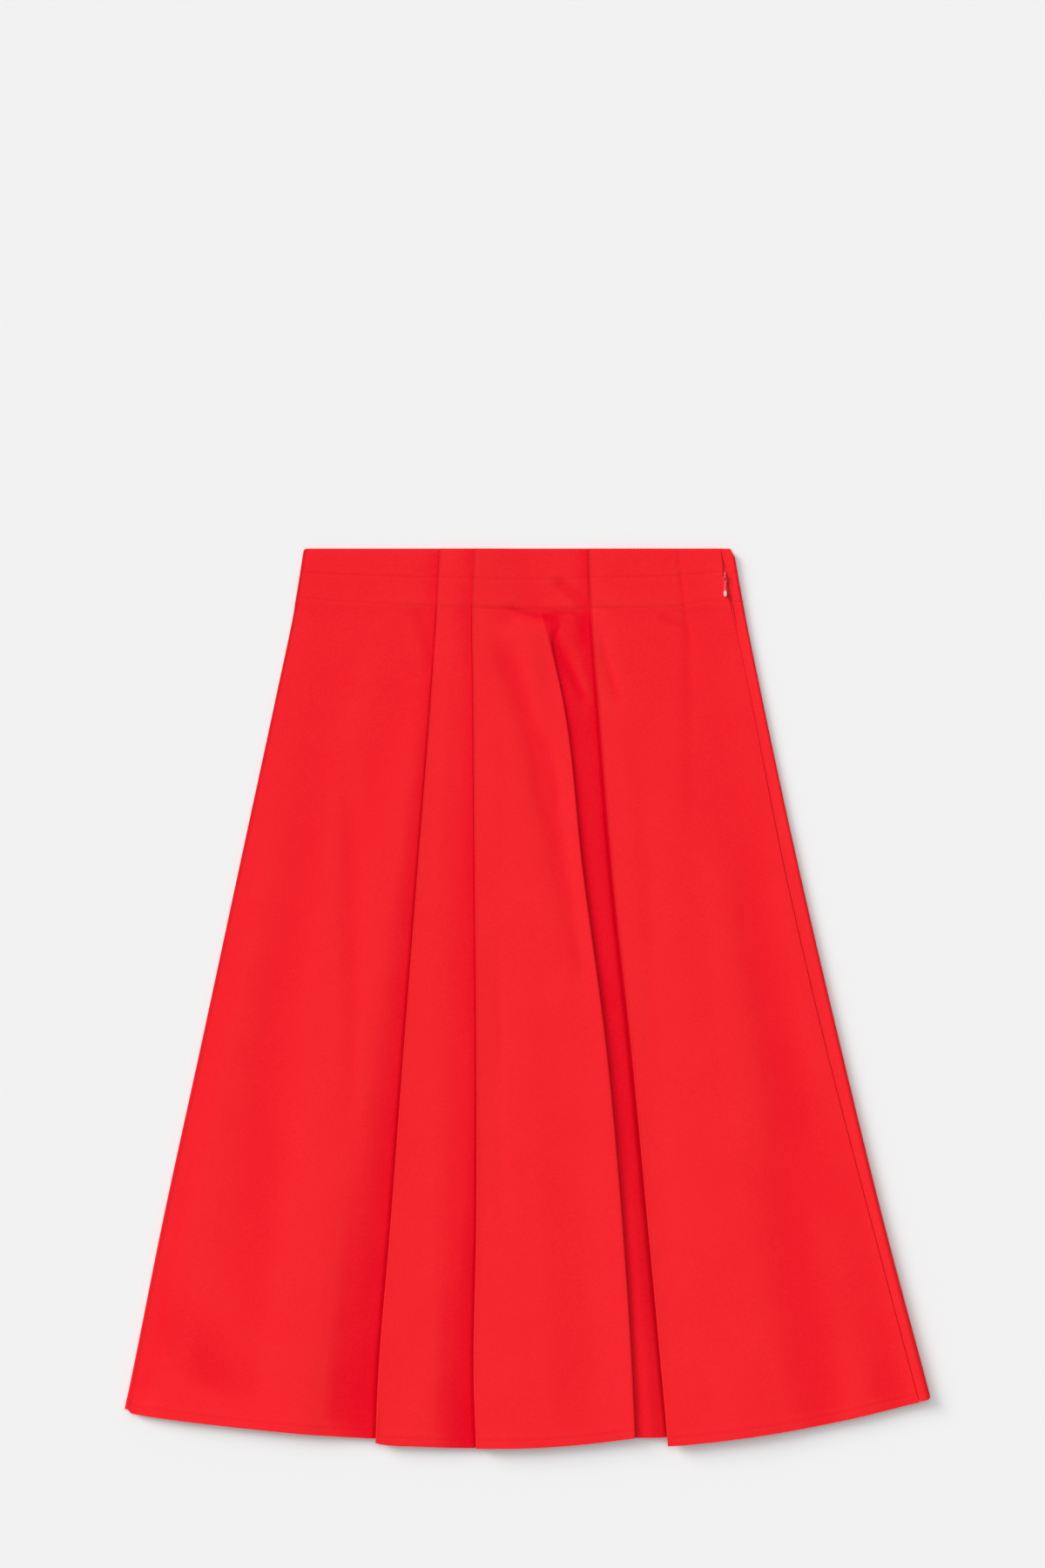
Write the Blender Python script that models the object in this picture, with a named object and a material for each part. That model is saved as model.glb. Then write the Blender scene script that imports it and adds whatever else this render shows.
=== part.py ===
"""A pleated A-line midi skirt, laid flat on its back, with an invisible zip in its right side seam.

Sizes below are in millimetres, and meshes are made in metres. +Y points to the waist, +X to the
right of the skirt as it is seen, and +Z up. The origin is under the middle of the skirt, on what
it lies on. "below" is a distance down the cloth from the waist edge.

The front is one piece of cloth. From its left seam, which lies under the skirt, it rolls round the
left edge, runs over the top, and is folded into knife pleats A, B and C, whose edges face left,
and a soft roll S that faces right. The back lies under it, and rolls over the right edge to meet
it at the side seam, as a narrow strip that shows from above.
"""

import math
from collections import namedtuple

import bmesh
import bpy
import numpy as np

MM = 0.001

# The cut.
LENGTH = 733.5  # waist edge to the lowest point of the hem
WALL = 1.2  # cloth
AIR = 0.3  # between pressed layers, and between pieces at a seam
PITCH = WALL + AIR  # from one pressed layer to the next
FLOOR_LAYER = WALL / 2  # height of the middle of the cloth that lies on the floor
FRONT_LAYER = FLOOR_LAYER + PITCH  # of the front, where it lies flat on the back
LEFT_WRAP = 10.0  # how far the front turns under at its left edge
HALF_GAP = AIR / 2

# Where each line of the skirt runs, from the middle of the hem's width, at a distance below the
# waist: its two outer edges, the four fold edges and the side seam.
Level = namedtuple("Level", "below left fold_a fold_b fold_s fold_c seam right")
LEVELS = (
    Level(0.0, -182.5, -71.6, -43.3, 0.0, 49.6, 156.9, 168.4),
    Level(50.0, -190.7, -74.3, -45.3, 11.4, 51.6, 166.8, 177.1),
    Level(121.0, -205.6, -79.0, -44.6, 28.5, 57.3, 181.8, 191.4),
    Level(263.0, -236.2, -90.0, -43.4, 45.5, 69.0, 209.9, 222.0),
    Level(405.5, -266.8, -101.0, -42.0, 64.4, 84.3, 242.9, 255.4),
    Level(548.0, -297.8, -111.7, -42.0, 77.5, 97.5, 279.9, 290.4),
    Level(690.0, -326.4, -122.7, -43.8, 86.4, 110.6, 317.6, 328.0),
    Level(733.5, -335.6, -124.1, -42.0, 88.2, 114.5, 329.4, 339.3),
)

# The slit that the zip opens in the side seam, from its edge on the front to its edge on the strip.
Slit = namedtuple("Slit", "below front_edge strip_edge")
SLITS = (
    Slit(0.0, 156.9, 157.3),
    Slit(7.8, 158.5, 158.9),
    Slit(14.2, 158.9, 161.8),
    Slit(21.3, 159.1, 163.2),
    Slit(28.5, 160.0, 163.7),
    Slit(36.3, 162.6, 165.4),
    Slit(46.2, 165.5, 167.7),
    Slit(57.6, 168.1, 169.7),
    Slit(68.0, 170.3, 170.8),
)
SLIT_CLOSING = 20.0  # below its last level, it closes to the seam over this length

# Each pleat: how deep its hidden layers go, how far its edge rolls open, and over what length the
# cloth comes down again past its inner fold, at the waist and at the hem.
Pleat = namedtuple("Pleat", "edge depth_waist depth_hem roll_waist roll_hem fall_waist fall_hem")
PLEATS = {
    "a": Pleat("fold_a", 15.0, 54.0, 0.0, 1.8, 9.0, 22.0),
    "b": Pleat("fold_b", 10.0, 26.0, 0.0, 1.6, 12.0, 34.0),
    "c": Pleat("fold_c", 20.0, 78.0, 0.0, 2.2, 20.0, 60.0),
}
LAYER_LIFT_HEM = 0.5  # air that the hidden layers hold apart at the hem
INNER_CLEAR = 2.2  # the cloth stays up this far past an inner fold
ROLL_FLAT, ROLL_REACH = 2.0, 14.0  # where a roll's opening starts and ends to close, from its edge

# The soft roll S grows out of flat cloth below the waist's topstitching: first a slope, which
# then steepens and turns under.
SOFT_RISE = (50.0, 92.0)  # where it comes up, below the waist
SOFT_TURN = (84.0, 185.0)  # where it turns under
SOFT_ROLL = 1.6  # how far it stands open
SOFT_SLOPE = 10.0  # across its slope, before it turns under
SOFT_DEPTH_HEM = 17.0  # how far it is turned under at the hem
SOFT_FALL = 26.0  # the cloth on its left comes down over this length
SHARED_LIFT = 0.35  # of the lesser lift that is added where pleat B and the soft roll both lift
SOFT_SLACK = 3.0  # across each of its bends, while they are flat
LEAST_RISE = 0.001  # a rise of none has no angle

# Air under the front, which grows from the hips to the hem, and ridges that run from the waist
# to the hem.
HEM_AIR = 2.6
HEM_AIR_FROM = 100.0
Ridge = namedtuple("Ridge", "x_waist x_hem reach_waist reach_hem high_waist high_hem")
RIDGES = (
    Ridge(-190.0, -335.0, 20.0, 42.0, 0.5, 1.7),  # left edge
    Ridge(-86.0, -182.0, 10.0, 44.0, 0.0, 3.6),  # left panel, beside pleat A
    Ridge(-56.0, -82.0, 9.0, 22.0, 0.0, 0.5),  # narrow panel
    Ridge(-20.0, -8.0, 20.0, 30.0, 0.2, 1.1),  # centre panel
    Ridge(100.0, 196.0, 24.0, 44.0, 0.3, 1.7),  # right panel
    Ridge(160.0, 326.0, 28.0, 44.0, 1.7, 2.3),  # side seam
)

# The zip.
TAPE_LENGTH = 176.0
TAPE_LOW, TAPE_HIGH = 1.5, 2.5
TAPE_LEFT, TAPE_RIGHT = 9.0, 5.0  # from the middle of the slit
TAPE_TOP = 1.0  # below the waist edge
SLIDER_X, SLIDER_BELOW = 161.05, 23.2  # the middle of its bridge
SLIDER_WIDTH, SLIDER_LENGTH = 2.5, 8.6
SLIDER_LOW, SLIDER_HIGH = 2.8, 3.7
BRIDGE_WIDTH, BRIDGE_METAL = 1.4, 0.8
BRIDGE_ROOT = 0.4  # how far the bridge is let into the body
BRIDGE_HOLE_LENGTH, BRIDGE_HOLE_HEIGHT = 2.6, 1.7
PIN_RADIUS = 0.45
PULL_HEIGHT = 5.7  # of the pull's axis and of its middle
PULL_THICKNESS = 0.9
PULL_ARM, PULL_ARM_CLEAR = 0.8, 0.3
PULL_WINDOW = 3.2  # from the axis to the end of the window in the pull
PULL_LENGTH = 16.6  # from the axis to the tip
PULL_NECK, PULL_BELLY = 1.1, 1.9  # half widths

# The levels at which the cloth's points lie: close together beside the zip and where S forms.
ROWS = (
    0, 8, 15, 22, 29, 37, 47, 58, 69, 82, 96, 110, 125, 145, 175, 215, 275, 350, 430, 515, 600, 670, LENGTH,
)

CLOTH_RED = (0.87, 0.012, 0.02, 1.0)
ZIP_RED = (0.62, 0.012, 0.02, 1.0)
METAL_RED = (0.72, 0.05, 0.05, 1.0)


def mix(a, b, share):
    """The value that far from a to b."""
    return a + (b - a) * share


def ease(value, start=0.0, end=1.0):
    """0 before start, 1 after end, and smooth between."""
    share = min(max((value - start) / (end - start), 0.0), 1.0)
    return share * share * (3 - 2 * share)


def along(below):
    """The share of the way down the cloth, for sizes given at the waist and at the hem."""
    return min(max(below / LENGTH, 0.0), 1.0)


def smooth_curve(rows, column):
    """A smooth curve through one column of a table whose first column is the distance below."""
    at = np.array([row.below for row in rows])
    value = np.array([getattr(row, column) for row in rows])
    slope = np.gradient(value, at)

    def curve(below):
        i = int(np.clip(np.searchsorted(at, below) - 1, 0, len(at) - 2))
        step = at[i + 1] - at[i]
        s = (below - at[i]) / step
        rise = (2 * s**3 - 3 * s**2 + 1) * value[i] + (3 * s**2 - 2 * s**3) * value[i + 1]
        return rise + step * ((s**3 - 2 * s**2 + s) * slope[i] + (s**3 - s**2) * slope[i + 1])

    return curve


LINE = {name: smooth_curve(LEVELS, name) for name in Level._fields[1:]}


def slit_edge(column, side):
    """One edge of the side seam: the slit's, and below it the seam's own, half a gap to one side."""
    at = [row.below for row in SLITS]
    value = [getattr(row, column) for row in SLITS]

    def edge(below):
        if below <= at[-1]:
            return float(np.interp(below, at, value))
        closing = 1 - ease(below, at[-1], at[-1] + SLIT_CLOSING)
        last = value[-1] - LINE["seam"](at[-1])
        return LINE["seam"](below) + mix(side * HALF_GAP, last, closing)

    return edge


FRONT_EDGE = slit_edge("front_edge", -1)
STRIP_EDGE = slit_edge("strip_edge", 1)


def base(x, below):
    """The height of the front's lowest layer, which carries every layer above it."""
    share = along(below)
    height = FRONT_LAYER + HEM_AIR * max((below - HEM_AIR_FROM) / (LENGTH - HEM_AIR_FROM), 0.0)
    for ridge in RIDGES:
        middle = mix(ridge.x_waist, ridge.x_hem, share)
        reach = mix(ridge.reach_waist, ridge.reach_hem, share)
        high = mix(ridge.high_waist, ridge.high_hem, share)
        height += high * math.exp(-(((x - middle) / reach) ** 2))
    return height


def inner_x(pleat, below):
    """Where a pleat's hidden layers turn back."""
    return LINE[pleat.edge](below) + mix(pleat.depth_waist, pleat.depth_hem, along(below))


def lift(below):
    """Air between a pleat's hidden layers."""
    return LAYER_LIFT_HEM * along(below)


def roll(pleat, x, below):
    """How far a pleat's top layer stands off its middle one: most at its edge."""
    opening = mix(pleat.roll_waist, pleat.roll_hem, along(below))
    return opening * (1 - ease(x - LINE[pleat.edge](below), ROLL_FLAT, ROLL_REACH))


def stack(pleat, x, below):
    """The height of a pleat's top layer over its lowest, which fades past its inner fold."""
    inner = inner_x(pleat, below) + INNER_CLEAR
    fall = mix(pleat.fall_waist, pleat.fall_hem, along(below))
    height = 2 * PITCH + lift(below) + roll(pleat, x, below)
    return height * (1 - ease(x, inner, inner + fall))


def middle_layer(x, below):
    return base(x, below) + PITCH + lift(below)


def soft_fold(below):
    """The soft roll at a level: its share of its rise, its upper and lower radius, the angle that
    both turn through, and the length of the cloth between them."""
    upper, lower = (PITCH + SOFT_ROLL) / 2, (PITCH + lift(below)) / 2
    rise = max(ease(below, *SOFT_RISE), LEAST_RISE)
    leaning = math.atan(2 * (upper + lower) * rise / SOFT_SLOPE)
    turned = ease(below, *SOFT_TURN)
    angle = mix(leaning, math.pi, turned)
    if turned < 1:
        between = (upper + lower) * (2 * rise - 1 + math.cos(angle)) / math.sin(angle)
    else:
        between = SOFT_DEPTH_HEM * (below - SOFT_TURN[1]) / (LENGTH - SOFT_TURN[1])
    return rise, upper, lower, angle, between


def soft_start(below):
    """Where the soft roll starts to turn down, on its left."""
    upper = soft_fold(below)[1]
    return LINE["fold_s"](below) - upper - WALL / 2


def soft_stack(x, below):
    """How far the soft roll lifts the centre panel, which fades to its left."""
    rise, upper, lower, _, between = soft_fold(below)
    under = between + lower + WALL / 2 + INNER_CLEAR
    start = soft_start(below) - under * ease(below, *SOFT_TURN)
    return 2 * (upper + lower) * rise * ease(x, start - SOFT_FALL, start)


def soft_point(stage, share, below):
    """A point of the soft roll: in its upper bend, in the cloth between or in its lower bend."""
    rise, upper, lower, angle, between = soft_fold(below)
    slack = SOFT_SLACK * (1 - angle / math.pi) ** 2
    x, up = soft_start(below), 2 * (upper + lower) * rise
    passed = share if stage == "upper" else 1.0
    bend = angle * passed
    x += upper * math.sin(bend) + slack * passed
    up -= upper * (1 - math.cos(bend))
    if stage != "upper":
        length = between * share if stage == "between" else between
        x += length * math.cos(angle)
        up -= length * math.sin(angle)
    if stage == "lower":
        left = angle * (1 - share)
        x += lower * (math.sin(angle) - math.sin(left)) + slack * share
        up -= lower * (math.cos(left) - math.cos(angle))
    return x, base(x, below) + up


def soft_stage(stage):
    return lambda share, below: soft_point(stage, share, below)


def soft_end(below):
    return soft_point("lower", 1.0, below)[0]


def panel_height(letter):
    """The height rule of the panel that starts at a pleat's edge."""
    pleat = PLEATS[letter]
    return lambda x, below: base(x, below) + stack(pleat, x, below)


def centre_height(x, below):
    """Of the centre panel, between pleat B and the soft roll."""
    lifts = sorted((stack(PLEATS["b"], x, below), soft_stack(x, below)))
    return base(x, below) + lifts[1] + SHARED_LIFT * lifts[0]


def run(start, end, height):
    """A stretch of cloth from one line to another, at a height rule."""

    def place(share, below):
        x = mix(start(below), end(below), share)
        return x, height(x, below)

    return place


def turn(centre, first, last, side):
    """A fold: a half circle from one height rule to another, bulging to the left or the right."""

    def place(share, below):
        x = centre(below)
        low, high = first(x, below), last(x, below)
        angle = math.pi * share
        radius = abs(high - low) / 2
        return x + side * radius * math.sin(angle), mix(low, high, (1 - math.cos(angle)) / 2)

    return place


def fold_centre(line, first, last, side):
    """The middle of a fold whose outer face touches a line."""

    def centre(below):
        x = line(below)
        radius = abs(last(x, below) - first(x, below)) / 2
        return x - side * (radius + WALL / 2)

    return centre


def floor_layer(x, below):
    return FLOOR_LAYER


def shifted(line, by):
    return lambda below: line(below) + by


# A span of the cut: its rule, how many faces it takes across, and how far below the waist its top
# edge and its hem lie, at its start, middle and end. A crowding over 1 sets its points closer at
# its start.
Span = namedtuple("Span", "place faces top hem crowding", defaults=(1.0,))
LEVEL_TOP = (0.0, 0.0, 0.0)


def knife_pleat(letter, first, hem_inner, hem_edge):
    """The three spans of a knife pleat: its inner fold, its middle layer and its edge.

    first is the height rule of the cloth that runs under it.
    """
    pleat = PLEATS[letter]
    top = panel_height(letter)
    inner = lambda below: inner_x(pleat, below)
    edge = fold_centre(LINE[pleat.edge], middle_layer, top, -1)
    hem_middle = mix(hem_inner, hem_edge, 0.5)
    faces = 5 if letter == "c" else 3
    return edge, (
        Span(turn(inner, first, middle_layer, 1), 4, LEVEL_TOP, (hem_inner,) * 3),
        Span(run(inner, edge, middle_layer), faces, LEVEL_TOP, (hem_inner, hem_middle, hem_edge)),
        Span(turn(edge, middle_layer, top, -1), 5, LEVEL_TOP, (hem_edge,) * 3),
    )


def front_spans():
    """The front's spans, from its seam under the left edge to the side seam on the right."""
    left = LINE["left"]
    left_fold = fold_centre(left, floor_layer, base, -1)
    edge_a, pleat_a = knife_pleat("a", base, 727.0, 730.4)
    edge_b, pleat_b = knife_pleat("b", panel_height("a"), 731.5, 733.5)
    edge_c, pleat_c = knife_pleat("c", base, 719.5, 731.3)

    inner_a = lambda below: inner_x(PLEATS["a"], below)
    inner_b = lambda below: inner_x(PLEATS["b"], below)
    inner_c = lambda below: inner_x(PLEATS["c"], below)
    soft = (
        Span(run(edge_b, soft_start, centre_height), 12, LEVEL_TOP, (733.5, 732.4, 725.6), 1.2),
        Span(soft_stage("upper"), 5, LEVEL_TOP, (725.6, 725.2, 725.0)),
        Span(soft_stage("between"), 2, LEVEL_TOP, (725.0,) * 3),
        Span(soft_stage("lower"), 4, LEVEL_TOP, (725.0,) * 3),
        Span(run(soft_end, inner_c, base), 9, LEVEL_TOP, (725.0, 724.4, 719.5)),
    )
    return (
        Span(run(shifted(left, LEFT_WRAP), left_fold, floor_layer), 2, LEVEL_TOP, (706.0, 703.0, 700.5)),
        Span(turn(left_fold, floor_layer, base, -1), 5, (0.4, 1.2, 0.4), (700.5, 698.0, 701.5)),
        Span(run(left_fold, inner_a, base), 13, LEVEL_TOP, (701.5, 720.8, 727.0)),
        *pleat_a,
        Span(run(edge_a, inner_b, panel_height("a")), 10, LEVEL_TOP, (730.4, 733.6, 731.5), 1.2),
        *pleat_b,
        *soft,
        *pleat_c,
        Span(run(edge_c, FRONT_EDGE, panel_height("c")), 15, LEVEL_TOP, (731.3, 719.4, 697.9), 1.3),
    )


def back_spans():
    """The back's spans, from the seam under the left edge to the side seam on top of the right."""
    right = LINE["right"]
    right_fold = fold_centre(right, floor_layer, base, 1)
    return (
        Span(
            run(shifted(LINE["left"], LEFT_WRAP + AIR), right_fold, floor_layer),
            10, LEVEL_TOP, (706.0, 722.0, 696.5),
        ),
        Span(turn(right_fold, floor_layer, base, 1), 5, (0.6, 6.0, 0.8), (696.5, 690.6, 695.0)),
        Span(run(right_fold, STRIP_EDGE, base), 3, (0.8, 0.0, 0.0), (695.0, 697.0, 697.9)),
    )


def through(values, share):
    """A parabola through three values, at the start, the middle and the end."""
    start, middle, end = values
    bend = 2 * (start + end - 2 * middle)
    return start + share * (end - start - bend) + bend * share * share


def cloth_points(spans):
    """The middle of the cloth, as a grid of points: a row for each level, a column across."""
    grid = []
    for level in ROWS:
        row = []
        for number, span in enumerate(spans):
            first = 0 if number == 0 else 1
            for step in range(first, span.faces + 1):
                share = (step / span.faces) ** span.crowding
                top, hem = through(span.top, share), through(span.hem, share)
                below = mix(top, hem, level / LENGTH)
                x, z = span.place(share, below)
                row.append((x, LENGTH / 2 - below, z))
        grid.append(row)
    return np.array(grid)


def cloth_material(name, colour, roughness, metallic=0.0):
    material = bpy.data.materials.new(name)
    material.use_nodes = True
    shader = material.node_tree.nodes["Principled BSDF"]
    shader.inputs["Base Color"].default_value = colour
    shader.inputs["Roughness"].default_value = roughness
    shader.inputs["Metallic"].default_value = metallic
    return material


def new_object(name, mesh, material):
    part = bpy.data.objects.new(name, mesh)
    mesh.materials.append(material)
    bpy.context.scene.collection.objects.link(part)
    return part


def cloth_piece(name, points, material, thickness=WALL):
    """A wall of cloth: a mesh through its middle, thickened equally to both sides."""
    rows, columns = points.shape[:2]
    faces = [
        (i * columns + j, (i + 1) * columns + j, (i + 1) * columns + j + 1, i * columns + j + 1)
        for i in range(rows - 1)
        for j in range(columns - 1)
    ]
    mesh = bpy.data.meshes.new(name)
    mesh.from_pydata((points.reshape(-1, 3) * MM).tolist(), [], faces)
    mesh.shade_smooth()
    part = new_object(name, mesh, material)
    wall = part.modifiers.new("wall", "SOLIDIFY")
    wall.thickness = thickness * MM
    wall.offset = 0.0
    wall.use_even_offset = False
    return part


def zip_tape(material):
    """The zip's tape, a flat strip inside the side seam that shows in the slit."""
    points = []
    for below in np.linspace(TAPE_TOP, TAPE_LENGTH, 14):
        middle = (FRONT_EDGE(below) + STRIP_EDGE(below)) / 2
        y = LENGTH / 2 - below
        height = (TAPE_LOW + TAPE_HIGH) / 2
        points.append([(middle + dx, y, height) for dx in (-TAPE_LEFT, 0.0, TAPE_RIGHT)])
    return cloth_piece("zip_tape", np.array(points), material, TAPE_HIGH - TAPE_LOW)


def extruded(name, outlines, axis, low, high, material, bevel=0.0):
    """A plate between two distances along an axis, with an outline and any holes, as one solid.

    Each outline is a list of (u, v): (y, z) for a plate across X, and (x, y) for one across Z.
    """
    work = bmesh.new()
    edges = []
    for outline in outlines:
        ring = []
        for u, v in outline:
            place = (low, u, v) if axis == "X" else (u, v, low)
            ring.append(work.verts.new(place))
        edges += [work.edges.new((ring[i - 1], ring[i])) for i in range(len(ring))]
    bmesh.ops.triangle_fill(work, use_beauty=True, use_dissolve=True, edges=edges)
    plate = bmesh.ops.extrude_face_region(work, geom=list(work.faces))
    moved = [v for v in plate["geom"] if isinstance(v, bmesh.types.BMVert)]
    push = (high - low, 0, 0) if axis == "X" else (0, 0, high - low)
    bmesh.ops.translate(work, verts=moved, vec=push)
    bmesh.ops.recalc_face_normals(work, faces=list(work.faces))
    bmesh.ops.scale(work, verts=list(work.verts), vec=(MM, MM, MM))
    mesh = bpy.data.meshes.new(name)
    work.to_mesh(mesh)
    work.free()
    part = new_object(name, mesh, material)
    if bevel:
        soft = part.modifiers.new("soft edge", "BEVEL")
        soft.width = bevel * MM
        soft.segments = 1
        soft.limit_method = "ANGLE"
        soft.angle_limit = math.radians(60)
    return part


def arc(centre_u, centre_v, radius_u, radius_v, start, end, steps):
    """Points of an ellipse's arc, in degrees from +u towards +v."""
    angles = np.radians(np.linspace(start, end, steps + 1))
    return [(centre_u + radius_u * math.cos(a), centre_v + radius_v * math.sin(a)) for a in angles]


def zip_slider(material):
    """The slider: a narrow body in the slit with a bridge over it, whose hole takes the pull."""
    half = BRIDGE_HOLE_LENGTH / 2
    rise = BRIDGE_HOLE_HEIGHT / 2
    reach = half + BRIDGE_METAL
    root = SLIDER_HIGH - BRIDGE_ROOT - PULL_HEIGHT
    outer = [(-reach, root), (reach, root), *arc(0, 0, reach, rise + BRIDGE_METAL, 0, 180, 8)]
    hole = [(-half, -rise), (half, -rise), *arc(0, 0, half, rise, 0, 180, 6)]
    bridge = extruded("bridge", [outer, hole], "X", -BRIDGE_WIDTH / 2, BRIDGE_WIDTH / 2, material)
    radius = SLIDER_WIDTH / 2
    end = SLIDER_LENGTH / 2 - radius
    plan = [*arc(0, end, radius, radius, 0, 180, 8), *arc(0, -end, radius, radius, 180, 360, 8)]
    low, high = SLIDER_LOW - PULL_HEIGHT, SLIDER_HIGH - PULL_HEIGHT
    slider = extruded("zip_slider", [plan], "Z", low, high, material)
    join = slider.modifiers.new("bridge", "BOOLEAN")
    join.operation = "UNION"
    join.solver = "EXACT"
    join.object = bridge
    bridge.hide_render = True
    slider.location = (SLIDER_X * MM, (LENGTH / 2 - SLIDER_BELOW) * MM, PULL_HEIGHT * MM)
    bridge.location = slider.location
    return slider


def zip_pull(material):
    """The pull tab: two arms and a pin round the bridge, widening to a teardrop."""
    inside = BRIDGE_WIDTH / 2 + PULL_ARM_CLEAR
    outside = inside + PULL_ARM
    top = PIN_RADIUS
    belly_y = -(PULL_LENGTH - PULL_BELLY)
    outer = [
        (outside, top),
        (-outside, top),
        (-outside, -PULL_WINDOW),
        (-PULL_NECK, -PULL_WINDOW - 1.6),
        *arc(0, belly_y, PULL_BELLY, PULL_BELLY, 170, 370, 10),
        (PULL_NECK, -PULL_WINDOW - 1.6),
        (outside, -PULL_WINDOW),
    ]
    window = [(-inside, -PIN_RADIUS), (inside, -PIN_RADIUS), (inside, -PULL_WINDOW), (-inside, -PULL_WINDOW)]
    half = PULL_THICKNESS / 2
    pull = extruded("zip_pull", [outer, window], "Z", -half, half, material, 0.15)
    pull.location = (SLIDER_X * MM, (LENGTH / 2 - SLIDER_BELOW) * MM, PULL_HEIGHT * MM)
    return pull


def main():
    for leftover in list(bpy.data.objects):
        bpy.data.objects.remove(leftover)
    cloth = cloth_material("skirt cloth", CLOTH_RED, 0.9)
    tape = cloth_material("zip tape", ZIP_RED, 0.8)
    metal = cloth_material("painted metal", METAL_RED, 0.3, 0.4)
    cloth_piece("front", cloth_points(front_spans()), cloth)
    cloth_piece("back", cloth_points(back_spans()), cloth)
    zip_tape(tape)
    zip_slider(metal)
    zip_pull(metal)


main()
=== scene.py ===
"""The looks of a red pleated A-line midi skirt that lies flat on its back, seen from above.

Sizes are in millimetres, those of meshes and finishes in metres. +Y points to the waist and
+X to the right. "below" is a distance down the cloth from the waist edge, and x is measured from
the middle of the hem's width.
"""

import logging
import math
from collections.abc import Callable, Sequence
from dataclasses import dataclass, field
from enum import Enum

import bmesh
import bpy
import numpy as np
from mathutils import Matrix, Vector
from mathutils.bvhtree import BVHTree

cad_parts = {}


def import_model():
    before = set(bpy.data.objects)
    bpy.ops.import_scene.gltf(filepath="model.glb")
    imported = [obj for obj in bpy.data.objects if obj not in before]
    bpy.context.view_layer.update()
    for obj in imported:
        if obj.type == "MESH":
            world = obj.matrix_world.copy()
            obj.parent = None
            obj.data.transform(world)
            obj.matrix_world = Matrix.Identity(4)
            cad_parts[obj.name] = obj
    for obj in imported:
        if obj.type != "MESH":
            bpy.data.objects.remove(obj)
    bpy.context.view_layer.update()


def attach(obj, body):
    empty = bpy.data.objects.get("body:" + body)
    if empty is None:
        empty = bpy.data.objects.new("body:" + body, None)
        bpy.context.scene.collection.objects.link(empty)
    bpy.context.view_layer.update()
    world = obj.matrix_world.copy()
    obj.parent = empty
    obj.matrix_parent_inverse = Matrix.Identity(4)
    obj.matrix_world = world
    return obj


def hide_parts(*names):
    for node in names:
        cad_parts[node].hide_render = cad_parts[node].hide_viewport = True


MM = 0.001
LOG = logging.getLogger("skirt")

Field = np.ndarray
Line = Callable[[Field], Field]
Height = Callable[[Field, Field], Field]
Place = Callable[[Field, Field], tuple[Field, Field]]
Point = tuple[float, float]
Colour = tuple[float, float, float, float]
Ends = tuple[float, float]
Socket = bpy.types.NodeSocket
Material = bpy.types.Material
Piece = bpy.types.Object


class Body(Enum):
    """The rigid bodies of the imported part."""

    SKIRT = "skirt"
    PULL = "pull"


class Slot(Enum):
    """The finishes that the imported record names."""

    CLOTH = "skirt_cloth"
    TAPE = "zip_tape"
    METAL = "zip_metal"


class Side(Enum):
    """The face of the laid-out skirt that a row of stitches shows on."""

    TOP = 1
    UNDER = -1


def mix(a: Field | float, b: Field | float, share: Field | float) -> Field:
    """The value that far from a to b."""
    return a + (b - a) * share


def ease(value: Field | float, start: float | Field, end: float | Field) -> Field:
    """0 before start, 1 after end, and smooth between."""
    share = np.clip((value - start) / (end - start), 0.0, 1.0)
    return share * share * (3 - 2 * share)


def through(values: tuple[float, float, float], share: Field) -> Field:
    """A parabola through three values, at the start, the middle and the end.

    Args:
        values: The three values.
        share: How far along it is, from 0 to 1.
    Returns:
        The value there.
    """
    start, middle, end = values
    bend = 2 * (start + end - 2 * middle)
    return start + share * (end - start - bend) + bend * share * share


# The lines, folds and creases of the skirt


@dataclass(frozen=True)
class Level:
    """Where each line of the skirt runs, at a distance below the waist."""

    below: float
    left: float
    fold_a: float
    fold_b: float
    fold_s: float
    fold_c: float
    seam: float
    right: float


@dataclass(frozen=True)
class Slit:
    """The two edges of the side seam where the zip opens it."""

    below: float
    front_edge: float
    strip_edge: float


@dataclass(frozen=True)
class Pleat:
    """A knife pleat.

    Args:
        edge: The line of its edge.
        depth: How deep its hidden layers go, at the waist, halfway and at the hem.
        roll: How far its edge stands open, at the waist and at the hem.
        even: The share of its height that fades evenly across its panel, at the waist and at the hem.
        fall: Over what length the rest fades past its inner fold, at the waist and at the hem.
        gutter: How far the cloth under its edge dips beside it, at the waist, halfway and at the hem.
        gutter_reach: How far that dip reaches, at the same levels.
        hem: How far below the waist the hem lies, at its inner fold and at its edge.
        sunk: How much painted shade darkens the cloth under it, under the rows of the waist and at the
            hem; under 0 it paints it lighter.
    """

    edge: str
    depth: tuple[float, float, float]
    roll: Ends
    even: Ends
    fall: Ends
    gutter: tuple[float, float, float]
    gutter_reach: tuple[float, float, float]
    hem: Ends
    sunk: Ends = (0.0, 0.0)


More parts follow.
